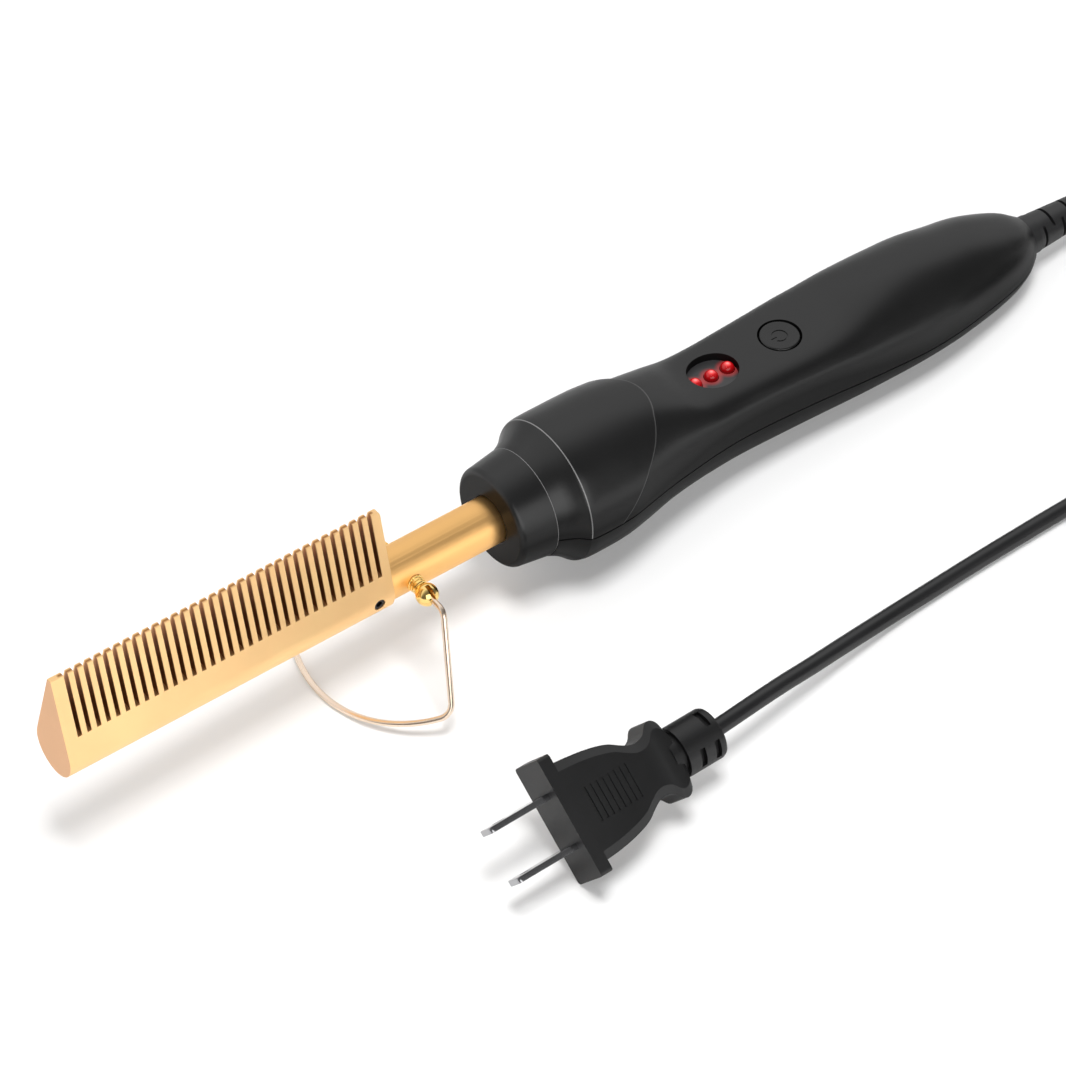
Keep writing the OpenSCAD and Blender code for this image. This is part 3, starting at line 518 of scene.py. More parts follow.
screw_foot = screw_seat + 0.00502 * screw_dir
set_screw = bar("set_screw", screw_foot, screw_foot + SET_SCREW_LEN * screw_dir, SET_SCREW_R, sides=48)
drill(set_screw, screw_foot + SOCKET_FLOOR * screw_dir, screw_foot + 0.003 * screw_dir, SOCKET_R, sides=6)
break_edges(set_screw, 0.0001, from_angle=40)
settle(set_screw)
give(set_screw, plated_finish("black oxide", (0.04, 0.038, 0.037), 0.36), "comb", "head_set_screw",
     slot="black_screw")


# ---------------------------------------------------------------- neck tube
# A thin brass tube, turned down at the front where the head slides on, with two small
# flats for the stand's posts. It carries the heater's leads back into the handle.

TUBE_R = 0.006
TUBE_WALL = 0.001
TUBE_FRONT = HEAD_LEN - SPIGOT_LEN
TUBE_REAR = 0.1553
PIVOT_X = 0.0955
POST_SEAT = 0.00575
POST_BORE_R = 0.0014
POST_FLAT_R = 0.0021


def turned(name, outline, sides=96, closed=False):
    """A turned piece: a ring is drawn out from one (x, radius) of its outline to the next."""
    bpy.ops.object.select_all(action="DESELECT")
    x, r = outline[0]
    bpy.ops.mesh.primitive_circle_add(vertices=sides, radius=r, location=(x, 0, 0), rotation=ALONG)
    piece = place_applied(bpy.context.object, name)
    edit(piece)
    bpy.ops.mesh.select_all(action="SELECT")
    for next_x, next_r in outline[1:] + (outline[:1] if closed else []):
        bpy.ops.mesh.extrude_region_move(TRANSFORM_OT_translate={"value": (next_x - x, 0, 0)})
        bpy.ops.transform.resize(value=(1, next_r / r, next_r / r), center_override=(next_x, 0, 0))
        x, r = next_x, next_r
    bpy.ops.mesh.select_all(action="SELECT")
    if closed:
        bpy.ops.mesh.remove_doubles(threshold=1e-6)
    else:
        bpy.ops.mesh.fill_holes(sides=0)
    bpy.ops.mesh.normals_make_consistent(inside=False)
    done()
    return piece


neck = turned("neck_tube", [(TUBE_FRONT, SPIGOT_R - TUBE_WALL), (TUBE_FRONT, SPIGOT_R), (HEAD_LEN, SPIGOT_R),
                            (HEAD_LEN + 0.0001, TUBE_R), (TUBE_REAR, TUBE_R), (TUBE_REAR, TUBE_R - TUBE_WALL),
                            (HEAD_LEN + 0.001, TUBE_R - TUBE_WALL), (HEAD_LEN, SPIGOT_R - TUBE_WALL)],
              sides=128, closed=True)
drill(neck, (PIVOT_X, -0.012, 0), (PIVOT_X, 0.012, 0), POST_BORE_R, sides=32)
for side in (-1, 1):
    drill(neck, (PIVOT_X, side * POST_SEAT, 0), (PIVOT_X, side * 0.012, 0), POST_FLAT_R, sides=48)
break_edges(neck, 0.00008, from_angle=40)
settle(neck)
turned_gold = plated_finish("turned gold plate", (0.97, 0.565, 0.21), 0.37, turned_marks=0.8)
give(neck, turned_gold, "comb", "neck_tube", slot="satin_gold")


# ---------------------------------------------------------------- stand posts
# Two small brass turnings screwed into the tube, ringed and knurled below, each ending in
# a ball that is bored for the wire and slotted so that the wire can be sprung in.

# the post's outline and its ball in mm: distance from the tube's axis, radius
POST_BANDS = [(3.8, 1.35), (5.75, 1.35), (5.75, 2.05), (5.87, 2.17), (6.3, 2.17), (6.42, 1.92), (6.6, 1.92),
              (6.7, 2.05), (7.15, 2.05), (7.25, 1.8), (7.43, 1.8), (7.53, 1.95), (7.95, 1.95), (8.08, 1.7),
              (8.28, 1.66)]
BALL_R = 2.8
BALL_AT = 10.68
BALL_SLOT_W = 0.0011
BALL_SLOT_FLOOR = 0.01038
STUB_FLOOR = 0.00868
KNURLS = 18
KNURL_AT = 0.00228
KNURL_R = 0.00021
WIRE_D = 0.0015


def post(name, side):
    swings = [math.radians(a) for a in range(38, 179, 5)]
    ball = [(BALL_AT - BALL_R * math.cos(a), BALL_R * math.sin(a)) for a in swings]
    piece = turned(name, [(x / 1000, r / 1000) for x, r in POST_BANDS + ball], sides=64)
    for k in range(KNURLS):
        angle = 2 * math.pi * k / KNURLS
        y, z = KNURL_AT * math.cos(angle), KNURL_AT * math.sin(angle)
        drill(piece, (0.00596, y, z), (0.00785, 0.93 * y, 0.93 * z), KNURL_R, sides=10)
    cut(piece, box("saw", (BALL_SLOT_FLOOR, -BALL_SLOT_W / 2, -0.004), (0.015, BALL_SLOT_W / 2, 0.004)))
    drill(piece, (STUB_FLOOR, 0, 0), (0.016, 0, 0), WIRE_D / 2 + 0.00005, sides=32)
    break_edges(piece, 0.00022, segments=3, from_angle=42, smooth=40)
    set_down(piece, Matrix.Translation((PIVOT_X, 0, 0)) @ Matrix.Rotation(side * math.pi / 2, 4, "Z"))
    return settle(piece)


polished_gold = plated_finish("polished gold", (0.98, 0.68, 0.24), 0.13, grain=0.03, bump=0.02)
give(post("near_post", -1), polished_gold, "comb", "stand_post_near", slot="polished_gold")
give(post("far_post", 1), polished_gold, "comb", "stand_post_far", slot="polished_gold")


# ---------------------------------------------------------------- stand wire
# One length of hard wire, plated pale rose gold and bent to a loop: its ends swing in the
# two posts, two legs run down and its bowed foot stands on the table.

STUB_Y = 0.009
LEG_TOP = Vector((0, 0.017, 0))
LEG_LEAN = math.radians(17.5)
LEG_DROP = 0.0214 * Vector((-math.sin(LEG_LEAN), 0, -math.cos(LEG_LEAN)))
FOOT_HALF_W = 0.0295
CORNER = LEG_DROP + Vector((0, FOOT_HALF_W, 0))
FOOT_LEAN = math.radians(40)
FOOT_TIP = 0.0361 * Vector((-math.sin(FOOT_LEAN), 0, -math.cos(FOOT_LEAN)))
LEG_BEND = 0.0018
CORNER_BEND = 0.003
BEND_PARTS = 9
ARC_PARTS = 24


def bend(corner, before, after, reach):
    """The round bend at a corner, from reach before it to reach after it."""
    start, end = corner - reach * before, corner + reach * after
    half = before.angle(after) / 2
    middle = corner + (after - before).normalized() * reach / math.sin(half)
    a, b = start - middle, end - middle
    swing = a.angle(b)
    return [middle + (math.sin((1 - t / BEND_PARTS) * swing) * a + math.sin(t / BEND_PARTS * swing) * b)
            / math.sin(swing) for t in range(BEND_PARTS + 1)]


sideways = Vector((0, 1, 0))
leg_way = (CORNER - LEG_TOP).normalized()
foot_way = (FOOT_TIP - LEG_DROP).normalized()
foot_depth = (FOOT_TIP - LEG_DROP).length
arc_back = (foot_depth**2 + CORNER_BEND**2 - FOOT_HALF_W**2) / (2 * foot_depth)
arc_r = foot_depth - arc_back
arc_from = math.atan2(-arc_back, FOOT_HALF_W) + math.atan(CORNER_BEND / arc_r)
arc_entry = math.cos(arc_from) * foot_way - math.sin(arc_from) * sideways
half_loop = [Vector((0, STUB_Y, 0)), *bend(LEG_TOP, sideways, leg_way, LEG_BEND),
             *bend(CORNER, leg_way, arc_entry, CORNER_BEND)]
for k in range(1, ARC_PARTS + 1):
    angle = arc_from + (math.pi / 2 - arc_from) * k / ARC_PARTS
    half_loop.append(LEG_DROP + arc_back * foot_way
                     + arc_r * (math.cos(angle) * sideways + math.sin(angle) * foot_way))
other_half = [Vector((p.x, -p.y, p.z)) for p in reversed(half_loop[:-1])]
wire = cord_tube("stand_wire", [p + Vector((PIVOT_X, 0, 0)) for p in half_loop + other_half], WIRE_D, 6)
settle(wire)
give(wire, plated_finish("rose gold wire", (0.86, 0.7, 0.56), 0.24, grain=0.05), "stand", "stand_wire",
     slot="rose_wire")


# ---------------------------------------------------------------- nose cap
# The heat-resisting ring at the front of the handle: a turned plastic moulding, rounded
# at the front where the tube goes in, with a lip that the two shells close over.

CAP_X = 0.1216
CAP_LEN = 0.0097
SHELL_X = CAP_X + CAP_LEN
CAP_FRONT_R = 0.0129
CAP_REAR_R = 0.014
CAP_ROUND = 0.0016
CAP_BORE = TUBE_R + FIT
LIP_R = CAP_REAR_R - 0.0023
LIP_LEN = 0.005
LIP_WALL = 0.0018
CAP_INSIDE = 0.0015
CAP_EDGE = 0.00025
CAP_HIGHLIGHT_W = 0.00028
front_round = [(CAP_X + CAP_ROUND * (1 - math.cos(math.radians(a))),
                CAP_FRONT_R - CAP_ROUND * (1 - math.sin(math.radians(a)))) for a in range(0, 91, 9)]
cap = turned("nose_ring", [(CAP_X, CAP_BORE), *front_round, (SHELL_X, CAP_REAR_R), (SHELL_X, LIP_R),
                           (SHELL_X + LIP_LEN, LIP_R), (SHELL_X + LIP_LEN, LIP_R - LIP_WALL),
                           (SHELL_X - CAP_INSIDE, LIP_R - LIP_WALL), (SHELL_X - CAP_INSIDE, CAP_BORE)],
             sides=128, closed=True)
break_edges(cap, CAP_EDGE, from_angle=50, smooth=30)
settle(cap)
SHELL_BLACK = (0.0052, 0.0052, 0.0053)
# Painted shade: its flanks and underside keep as little as a fifth of its top's sheen.
black_moulding = moulded_finish("matte black moulding", SHELL_BLACK, 0.31, sheen_level=0.46, painted_shade_flank_share=0.2)
give(cap, black_moulding, "comb", "nose_cap", slot="black_shell")
# Painted highlight: a thin pale band round the cap's rear rim, where light catches its round.
painted_rim_highlight = moulded_finish("black edge with painted highlight", (0.15, 0.15, 0.15), 0.3)
finish_faces(cap, painted_rim_highlight, lambda middle: SHELL_X - CAP_HIGHLIGHT_W < middle.x < SHELL_X + NEAR
             and math.hypot(middle.y, middle.z) > CAP_REAR_R - CAP_EDGE)


# ---------------------------------------------------------------- handle shells
# Two half shells in matte black plastic, parted just below the tube's axis and screwed
# together from below. The round bulb over the hot end meets the flat-topped grip in a crease.

SEAM_Z = -0.0015
SEAM_GAP = 0.00036
WALL = 0.0022
BULB_R = 0.0185
WAIST_Z = 0.0107
WINDOW_X = 0.1877
WINDOW_LEN = 0.0136
WINDOW_W = 0.0114
WINDOW_DEPTH = 0.0024
LIGHT_R = 0.0018
LIGHT_PITCH = 0.0049
LIGHT_Y = 0.0004
BUTTON_X = 0.2083
BUTTON_D = 0.010
BUTTON_GAP = 0.00045
TAIL_X = 0.2866
TAIL_BORE_R = 0.0052
COLLAR_SEAT_R = 0.0061
SCREW_WELL_R = 0.0024
SHELL_EDGE = 0.00018
STEP_FRONT = SHELL_X + 0.00655
STEP_REAR = SHELL_X + 0.0068
# stations: mm behind the cap, half width, top, bottom, squareness above and below
GRIP = [(12, 18.4, 18.3, -18.4, 2, 2), (20, 18, 17.8, -18.2, 2, 2), (27, 16.6, 17.3, -17.1, 2.1, 2.1),
        (34, 15.3, 16.5, -14.9, 2.3, 2.2), (42, 14.2, 14.1, -13.9, 2.8, 2.3),
        (49, 13.4, 11.4, -13.7, 3.7, 2.4), (57, 13, 10.7, -13.7, 4.3, 2.4), (68, 13.3, 10.7, -13.6, 4.6, 2.4),
        (82, 14.2, 10.9, -13.4, 4.4, 2.3), (92, 15.1, 11.9, -13.1, 3.3, 2.2),
        (102, 15.8, 13.9, -12.5, 2.5, 2.1), (112, 16.2, 15, -11.8, 2.1, 2), (122, 15.6, 14.8, -11.5, 2.1, 2),
        (131, 14.3, 13.6, -11.5, 2.1, 2), (139, 12.9, 12, -10.8, 2.3, 2), (146, 11.1, 10, -9.5, 2.3, 2),
        (151.5, 8.7, 7.9, -7.7, 2.4, 2), (154.2, 6.8, 6.4, -6.4, 2.3, 2), (155.3, 6, 5.8, -5.9, 2.2, 2)]
# below the seam the bulb and the grip run into each other without a crease
BULB_FRONT = [(0, 13.85), (1.2, 14.4), (2.2, 14.85), (3.2, 15.4), (4.9, 16.6), (6.1, 17.8), (7.1, 18.28),
              (9, 18.45), (11, 18.48), (15, 18.45)]
LOWER = [(x, r, r, -r, 2, 1.95) for x, r in BULB_FRONT] + GRIP[1:]
GRIP_SIDES = 96
# the turned bulb's outline: mm behind the cap, mm short of its full radius
BULB = [(0, 4.7), (1.2, 4.1), (2.2, 3.65), (3.2, 3.1), (4.9, 1.9), (6.1, 0.7), (6.55, 0.4), (6.8, 0.3),
        (7.1, 0.2), (8.5, 0.06), (11, 0), (15, 0), (19, 0), (24, 0.1), (29, 0.5), (34, 1.3), (39, 2.3),
        (42, 3.1)]
CREASE_X = SHELL_X + 0.0155
CREASE_TOP = 0.026
CREASE = [(CREASE_X, SEAM_Z), (CREASE_X + 0.0093, 0.009), (CREASE_X + 0.017, 0.0157),
          (CREASE_X + 0.034, CREASE_TOP)]
# mm behind the cap where the grip and the hollow begin and end
GRIP_FROM = 14
GRIP_TO = 155.3
HOLLOW_FROM = 12.6
HOLLOW_TO = 150.8


def station(table, x):
    """Values at x on a smooth curve through a table of stations."""
    i = next((k for k in range(len(table) - 2) if x <= table[k + 1][0]), len(table) - 2)
    a, b = table[i], table[i + 1]
    before, after = table[max(i - 1, 0)], table[min(i + 2, len(table) - 1)]
    h = b[0] - a[0]
    u = (x - a[0]) / h
    values = []
    for c in range(1, len(a)):
        slope_a = (b[c] - before[c]) / (b[0] - before[0])
        slope_b = (after[c] - a[c]) / (after[0] - a[0])
        values.append(a[c] * (2 * u**3 - 3 * u * u + 1) + h * slope_a * (u**3 - 2 * u * u + u)
                      + b[c] * (3 * u * u - 2 * u**3) + h * slope_b * (u**3 - u * u))
    return values


def grip_ring_point(table, x, k, inset):
    width, top, bottom, square_up, square_down = station(table, x)
    angle = 2 * math.pi * k / GRIP_SIDES
    above = math.sin(angle) >= 0
    power = 2 / (square_up if above else square_down)
    reach = (top / 1000 - SEAM_Z if above else SEAM_Z - bottom / 1000) - inset
    y = (width / 1000 - inset) * math.copysign(abs(math.cos(angle))**power, math.cos(angle))
    z = SEAM_Z + reach * math.copysign(abs(math.sin(angle))**power, math.sin(angle))
    return Vector((SHELL_X + x / 1000, y, z))


def lofted(name, sides, rings, place):
    """A form drawn out ring by ring; place(ring, number) gives each point of a ring."""
    bpy.ops.object.select_all(action="DESELECT")
    bpy.ops.mesh.primitive_circle_add(vertices=sides, radius=0.01, rotation=ALONG)
    piece = place_applied(bpy.context.object, name)
    edit(piece)
    shape = bmesh.from_edit_mesh(piece.data)
    number = shape.verts.layers.int.new("number")
    shape.verts.ensure_lookup_table()
    for k, vert in enumerate(shape.verts):
        vert[number] = k
        vert.select = True
    for i in range(rings + 1):
        if i:
            bpy.ops.mesh.extrude_region_move()
            shape = bmesh.from_edit_mesh(piece.data)
            number = shape.verts.layers.int["number"]
        for vert in shape.verts:
            if vert.select:
                vert.co = place(i, vert[number])
        bmesh.update_edit_mesh(piece.data)
    bpy.ops.mesh.select_all(action="SELECT")
    bpy.ops.mesh.fill_holes(sides=0)
    bpy.ops.mesh.normals_make_consistent(inside=False)
    done()
    return piece


def lofted_grip(name, table, inset, start, end, rings):
    return lofted(name, GRIP_SIDES, rings,
                  lambda i, k: grip_ring_point(table, start + (end - start) * i / rings, k, inset))


def bulb(name, inset):
    """The bulb is turned; a slanting cut lets the grip grow out of it."""
    outline = [(SHELL_X + x / 1000, BULB_R - short / 1000 - inset) for x, short in BULB]
    if inset:
        outline[0] = (SHELL_X + 0.001, outline[0][1])
    body = turned(name, outline, sides=128)
    ahead = SHELL_X - 0.001
    corners = [(x - inset, z) for x, z in [(ahead, -0.03), (CREASE_X, -0.03), *CREASE, (ahead, CREASE_TOP)]]
    mesh = bpy.data.meshes.new("knife")
    mesh.from_pydata([(x, -0.04, z) for x, z in corners], [], [list(range(len(corners)))])
    knife = bpy.data.objects.new("knife", mesh)
    scene.collection.objects.link(knife)
    edit(knife)
    bpy.ops.mesh.select_all(action="SELECT")
    bpy.ops.mesh.extrude_region_move(TRANSFORM_OT_translate={"value": (0, 0.08, 0)})
    bpy.ops.mesh.select_all(action="SELECT")
    bpy.ops.mesh.normals_make_consistent(inside=False)
    done()
    return cut(body, knife, "INTERSECT")


def handle_body(name, inset, start, end, rings):
    return cut(lofted_grip(name, GRIP, inset, start, end, rings), bulb("bulb", inset), "UNION")


upper_half = handle_body("upper_half", 0, GRIP_FROM, GRIP_TO, 90)
lower_half = lofted_grip("lower_half", LOWER, 0, 0, GRIP_TO, 120)
for half in (upper_half, lower_half):
    cut(half, handle_body("hollow", WALL, HOLLOW_FROM, HOLLOW_TO, 40))
    for start, end, radius in ((SHELL_X - 0.001, SHELL_X + 0.007, CAP_REAR_R - WALL),
                               (TAIL_X - 0.008, TAIL_X + 0.005, TAIL_BORE_R),
                               (TAIL_X - 0.008, TAIL_X - 0.0044, COLLAR_SEAT_R)):
        drill(half, (start, 0, 0), (end, 0, 0), radius, sides=96)
cut(upper_half, box("crop", (0.1, -0.04, SEAM_Z + SEAM_GAP / 2), (0.32, 0.04, 0.06)), "INTERSECT")
cut(lower_half, box("crop", (0.1, -0.04, -0.06), (0.32, 0.04, SEAM_Z - SEAM_GAP / 2)), "INTERSECT")


def window_oval(name, grow, low, high):
    oval = bar(name, (WINDOW_X, 0, low), (WINDOW_X, 0, high), 0.5, sides=72)
    spread = Matrix.Diagonal((WINDOW_LEN + 2 * grow, WINDOW_W + 2 * grow, 1, 1))
    oval.data.transform(Matrix.Translation((WINDOW_X, 0, 0)) @ spread @ Matrix.Translation((-WINDOW_X, 0, 0)))
    return oval


window_floor = WAIST_Z - WINDOW_DEPTH
cut(upper_half, window_oval("window_tray", 0.0016, window_floor - 0.0015, window_floor + 0.002), "UNION")
cut(upper_half, window_oval("window_cut", 0, window_floor, 0.04))
for i in (-1, 0, 1):
    x = WINDOW_X + i * LIGHT_PITCH
    drill(upper_half, (x, LIGHT_Y, 0), (x, LIGHT_Y, 0.02), LIGHT_R + FIT, sides=48)
drill(upper_half, (BUTTON_X, 0, 0), (BUTTON_X, 0, 0.03), BUTTON_D / 2 + BUTTON_GAP, sides=72)
for x, y in ((24, 10.2), (118, 7.5)):
    for side in (-1, 1):
        place = (SHELL_X + x / 1000, side * y / 1000)
        drill(lower_half, (*place, -0.03), (*place, SEAM_Z - 0.0055), SCREW_WELL_R, sides=32)
break_edges(upper_half, SHELL_EDGE, from_angle=50, smooth=16)
break_edges(lower_half, SHELL_EDGE, from_angle=50, smooth=16)


def paint_crease_highlight(finish):
    """The crease is a fine raised edge with a painted highlight: a pale band along the slanting cut's three
    straight parts.
    """
    t = finish.node_tree
    place = own_place(t)
    z = set_node(t, "ShaderNodeSeparateXYZ", {"Vector": place}).outputs["Z"]
    bands = []
    for (x0, z0), (x1, z1) in zip(CREASE, CREASE[1:]):
        across = Vector((z1 - z0, 0, x0 - x1)).normalized()
        reach = set_node(t, "ShaderNodeVectorMath", {0: place, 1: across}, operation="DOT_PRODUCT")
        off = calc(t, "SUBTRACT", reach.outputs["Value"], across.dot(Vector((x0, 0, z0))))
        away = calc(t, "ABSOLUTE", off)
        bands.append(calc_all(t, "MULTIPLY", rescaled(t, away, 0.00008, 0.0003, 1.0, 0.0),
                              calc(t, "GREATER_THAN", z, z0), calc(t, "LESS_THAN", z, z1)))
    return paint_over(finish, calc_all(t, "ADD", *bands), (0.05, 0.05, 0.05))


# The upper shell's black: painted shade on its flanks and underside, and a painted highlight along the crease.
upper_moulding = paint_crease_highlight(moulded_finish("creased black moulding", SHELL_BLACK, 0.31, sheen_level=0.46,
                                             painted_shade_flank_share=0.2))
for half, node, finish in ((upper_half, "upper_shell", upper_moulding),
                           (lower_half, "lower_shell", black_moulding)):
    settle(half)
    give(half, finish, "comb", node, slot="black_shell")
    # Painted highlight: the same thin pale band round the bulb's step.
    finish_faces(half, painted_rim_highlight, lambda middle: STEP_FRONT < middle.x < STEP_REAR
                 and math.hypot(middle.y, middle.z) > BULB_R - 0.001)


def red_spill(finish):
    """The window's floor catches red light round each diode's nose."""
    t = finish.node_tree
    place = set_node(t, "ShaderNodeTexCoord").outputs["Object"]
    shares = []
    for i in (-1, 0, 1):
        nose = REST @ Vector((WINDOW_X + i * LIGHT_PITCH, LIGHT_Y, window_floor))
        away = set_node(t, "ShaderNodeVectorMath", {0: place, 1: nose}, operation="DISTANCE").outputs["Value"]
        shares.append(rescaled(t, away, LIGHT_R, LIGHT_R + 0.0016, 0.5, 0.0, interpolation_type="SMOOTHSTEP"))
    fill(t, t.nodes["Principled BSDF"], {"Emission Color": (0.55, 0.01, 0.01, 1),
                                         "Emission Strength": calc_all(t, "ADD", *shares)})
    return finish


# Painted light: the tray is a lighter grey than the shell's black, to lift its shadowed recess, and its red
# round each diode is a painted glow.
window_tray = red_spill(moulded_finish("window tray with painted light", (0.03, 0.03, 0.031), 0.4))
finish_faces(upper_half, window_tray, lambda middle: abs(middle.z - window_floor) < 0.0001
             and math.hypot((middle.x - WINDOW_X) / WINDOW_LEN, middle.y / WINDOW_W) < 0.5)


# ---------------------------------------------------------------- lights
# Three red light-emitting diodes with round epoxy noses stand on the circuit board and
# show through holes in the window's floor.

BOARD_Z = 0.0043
LIGHT_FLANGE_R = 0.0021
LIGHT_FLANGE_T = 0.0006
UPRIGHT = Matrix.Rotation(-math.pi / 2, 4, "Y")


def ramp(tree, value, stops):
    """The colour for a value, blended between stops."""
    blend = set_node(tree, "ShaderNodeValToRGB", {"Fac": value})
    elements = blend.color_ramp.elements
    elements.remove(elements[1])
    elements[0].position = stops[0][0]
    elements[0].color = (*stops[0][1], 1)
    for position, colour in stops[1:]:
        elements.new(position).color = (*colour, 1)
    return blend.outputs["Color"]


def glowing_finish():
    """Red epoxy that shines brightest where its nose faces along its own axis."""
    m, t, shader = new_finish("lit red epoxy")
    face = set_node(t, "ShaderNodeTexCoord").outputs["Normal"]
    along = set_node(t, "ShaderNodeVectorMath", {0: face, 1: REST.to_3x3() @ Vector((0, 0, 1))},
                     operation="DOT_PRODUCT")
    glow = ramp(t, along.outputs["Value"], [(0.2, (0.05, 0, 0)), (0.6, (0.22, 0.001, 0.002)),
                                            (0.86, (0.42, 0.004, 0.006)), (0.96, (0.85, 0.08, 0.08)),
                                            (1, (1, 0.32, 0.3))])
    fill(t, shader, {"Base Color": (0.12, 0.002, 0.003, 1), "Roughness": 0.2, "Emission Color": glow,
                     "Emission Strength": 1})
    return m


lit_epoxy = glowing_finish()
nose = window_floor - BOARD_Z
swings = [math.radians(a) for a in range(0, 86, 5)]
dome = [(nose + LIGHT_R * math.sin(a), LIGHT_R * math.cos(a)) for a in swings]
for i in (-1, 0, 1):
    light = turned(f"light_{i + 2}", [(0, LIGHT_FLANGE_R), (LIGHT_FLANGE_T, LIGHT_FLANGE_R),
                                      (LIGHT_FLANGE_T, LIGHT_R), *dome], sides=48)
    break_edges(light, 0, smooth=30)
    set_down(light, Matrix.Translation((WINDOW_X + i * LIGHT_PITCH, LIGHT_Y, BOARD_Z)) @ UPRIGHT)
    settle(light)
    give(light, lit_epoxy, "comb", f"led_{i + 2}", slot="red_led")


# ---------------------------------------------------------------- power button
# A round dished key in black plastic, a little proud of the shell, held in from below by
# its collar. The power sign is sunk into its face, with its stroke towards the comb.

BUTTON_TOP = WAIST_Z + 0.0003
COLLAR_TOP = WAIST_Z - WALL - 0.00045
KEY_COLLAR_R = 0.0058
KEY_EDGE = 0.0005
DISH_R = 0.04
SIGN_IN = 0.00165
SIGN_OUT = 0.00202


def dish(r):
    return BUTTON_TOP + DISH_R - 0.0004 - math.sqrt(DISH_R**2 - r * r)


swings = [math.radians(a) for a in range(0, 91, 15)]
button_edge = [(dish(0.0045) - KEY_EDGE * (1 - math.sin(a)), BUTTON_D / 2 - KEY_EDGE * (1 - math.cos(a)))
               for a in swings]
button = turned("power_button", [(COLLAR_TOP - 0.001, KEY_COLLAR_R), (COLLAR_TOP, KEY_COLLAR_R),
                                 (COLLAR_TOP, BUTTON_D / 2), *button_edge,
                                 *[(dish(r / 10000), r / 10000) for r in (41, 36, 31, 26, 21, 16, 11, 6, 2)]],
                sides=96)
sign_floor = BUTTON_TOP - 0.00053
sign = turned("sign", [(sign_floor, SIGN_IN), (sign_floor, SIGN_OUT), (0.013, SIGN_OUT), (0.013, SIGN_IN)],
              sides=64, closed=True)
cut(sign, box("gap", (0, -0.001, 0), (0.02, 0.001, 0.004)))
cut(sign, box("stroke", (sign_floor, -0.00019, 0.0009), (0.013, 0.00019, 0.0025)), "UNION")
cut(button, sign)
break_edges(button, 0, smooth=35)
set_down(button, Matrix.Translation((BUTTON_X, 0, 0)) @ UPRIGHT)
settle(button)
black_key = moulded_finish("black key", SHELL_BLACK, 0.28, bump=0.08, sheen_level=0.46)
give(button, black_key, "button", "power_button", slot="black_button")


# ---------------------------------------------------------------- strain relief
# A tapered sleeve of soft black PVC moulded round the cord, with a plain collar at the
# handle and pairs of slots, each a quarter turn on from the last, so that it bends evenly.

RELIEF_LEN = 0.036
RELIEF_FOOT_R = 0.006
RELIEF_R = 0.0051
RELIEF_TIP_R = 0.003
RELIEF_BORE = CORD_D / 2 + 0.00002
RELIEF_SLOTS = 10
RELIEF_SLOT_W = 0.0008
relief_foot = TAIL_X - 0.007
relief_groove = TAIL_X - 0.0045
relief_collar = TAIL_X + 0.0028
relief_end = TAIL_X + RELIEF_LEN
relief = turned("strain_relief", [(relief_foot, RELIEF_BORE), (relief_foot, RELIEF_FOOT_R),
                                  (relief_groove, RELIEF_FOOT_R), (relief_groove, RELIEF_R),
                                  (relief_collar, RELIEF_R), (relief_collar, RELIEF_R - 0.00015),
                                  (relief_end - 0.0006, RELIEF_TIP_R),
                                  (relief_end - 0.0002, RELIEF_TIP_R - 0.0002),
                                  (relief_end, RELIEF_TIP_R - 0.0006), (relief_end, RELIEF_BORE)],
                sides=96, closed=True)
for i in range(RELIEF_SLOTS):
    x = 0.004 + i * (RELIEF_LEN - 0.008) / (RELIEF_SLOTS - 1)
    taper = RELIEF_R - (x - 0.002) * (RELIEF_R - RELIEF_TIP_R) / (RELIEF_LEN - 0.002)
    bridge = max(taper * 0.58, RELIEF_BORE + 0.0004)
    for side in (-1, 1):
        near, far = sorted((side * bridge, side * 0.012))
        low, high = ((-0.01, near), (0.01, far)) if i % 2 else ((near, -0.01), (far, 0.01))
        cut(relief, box("slot", (TAIL_X + x, *low), (TAIL_X + x + RELIEF_SLOT_W, *high)))
break_edges(relief, 0.00012, from_angle=45, smooth=40)
settle(relief)
give(relief, moulded_finish("soft black sleeve", (0.014, 0.014, 0.0145), 0.42, grain=4000.0, bump=0.1), "comb",
     "strain_relief", slot="cord_sheath")


# ---------------------------------------------------------------- plug
# A two-blade plug moulded in black PVC on the end of the cord: a flange to pull by, flat
# ribbed sides for the fingers, a waist, and a collar slit so that it bends with the cord.

PLUG_PLACE = (Matrix.Translation((-0.07694, -0.0746, 0.014239)) @ Matrix.Rotation(math.radians(3), 4, "Y")
              @ Matrix.Rotation(math.radians(36.5), 4, "X"))
PLUG_LEN = 0.044
FLANGE_W = 0.0298
FLANGE_H = 0.014
FLANGE_T = 0.0032
CORNER_ROUND = 0.001
COLLAR_R = 0.0064
BLADE_GAP = 0.0127
BLADE_T = 0.0015
BLADE_W = 0.00635
BLADE_ROOT = 0.008
RIBS = 8
RIB_PITCH = 0.00165
GROOVE_W = 0.0007
GROOVE_DEPTH = 0.0004
# stations: mm from the face, half width, half thickness
PLUG = [(3, 12.4, 6.9), (8, 12, 6.8), (13, 11.2, 6.6), (17.5, 9.9, 6.3), (20.5, 8.1, 6.1), (22.5, 7.1, 6),
        (24.6, 6.9, 5.9), (26.6, 7.7, 5.9), (28, 9.4, 6), (29.5, 9.7, 6), (31, 8.4, 5.9), (31.6, 6.4, 5.8)]
PLUG_RINGS = 56
PLUG_FROM = 3
PLUG_SPAN = 28.6
CHAMFER_W = 2.2
CHAMFER_H = 1.3


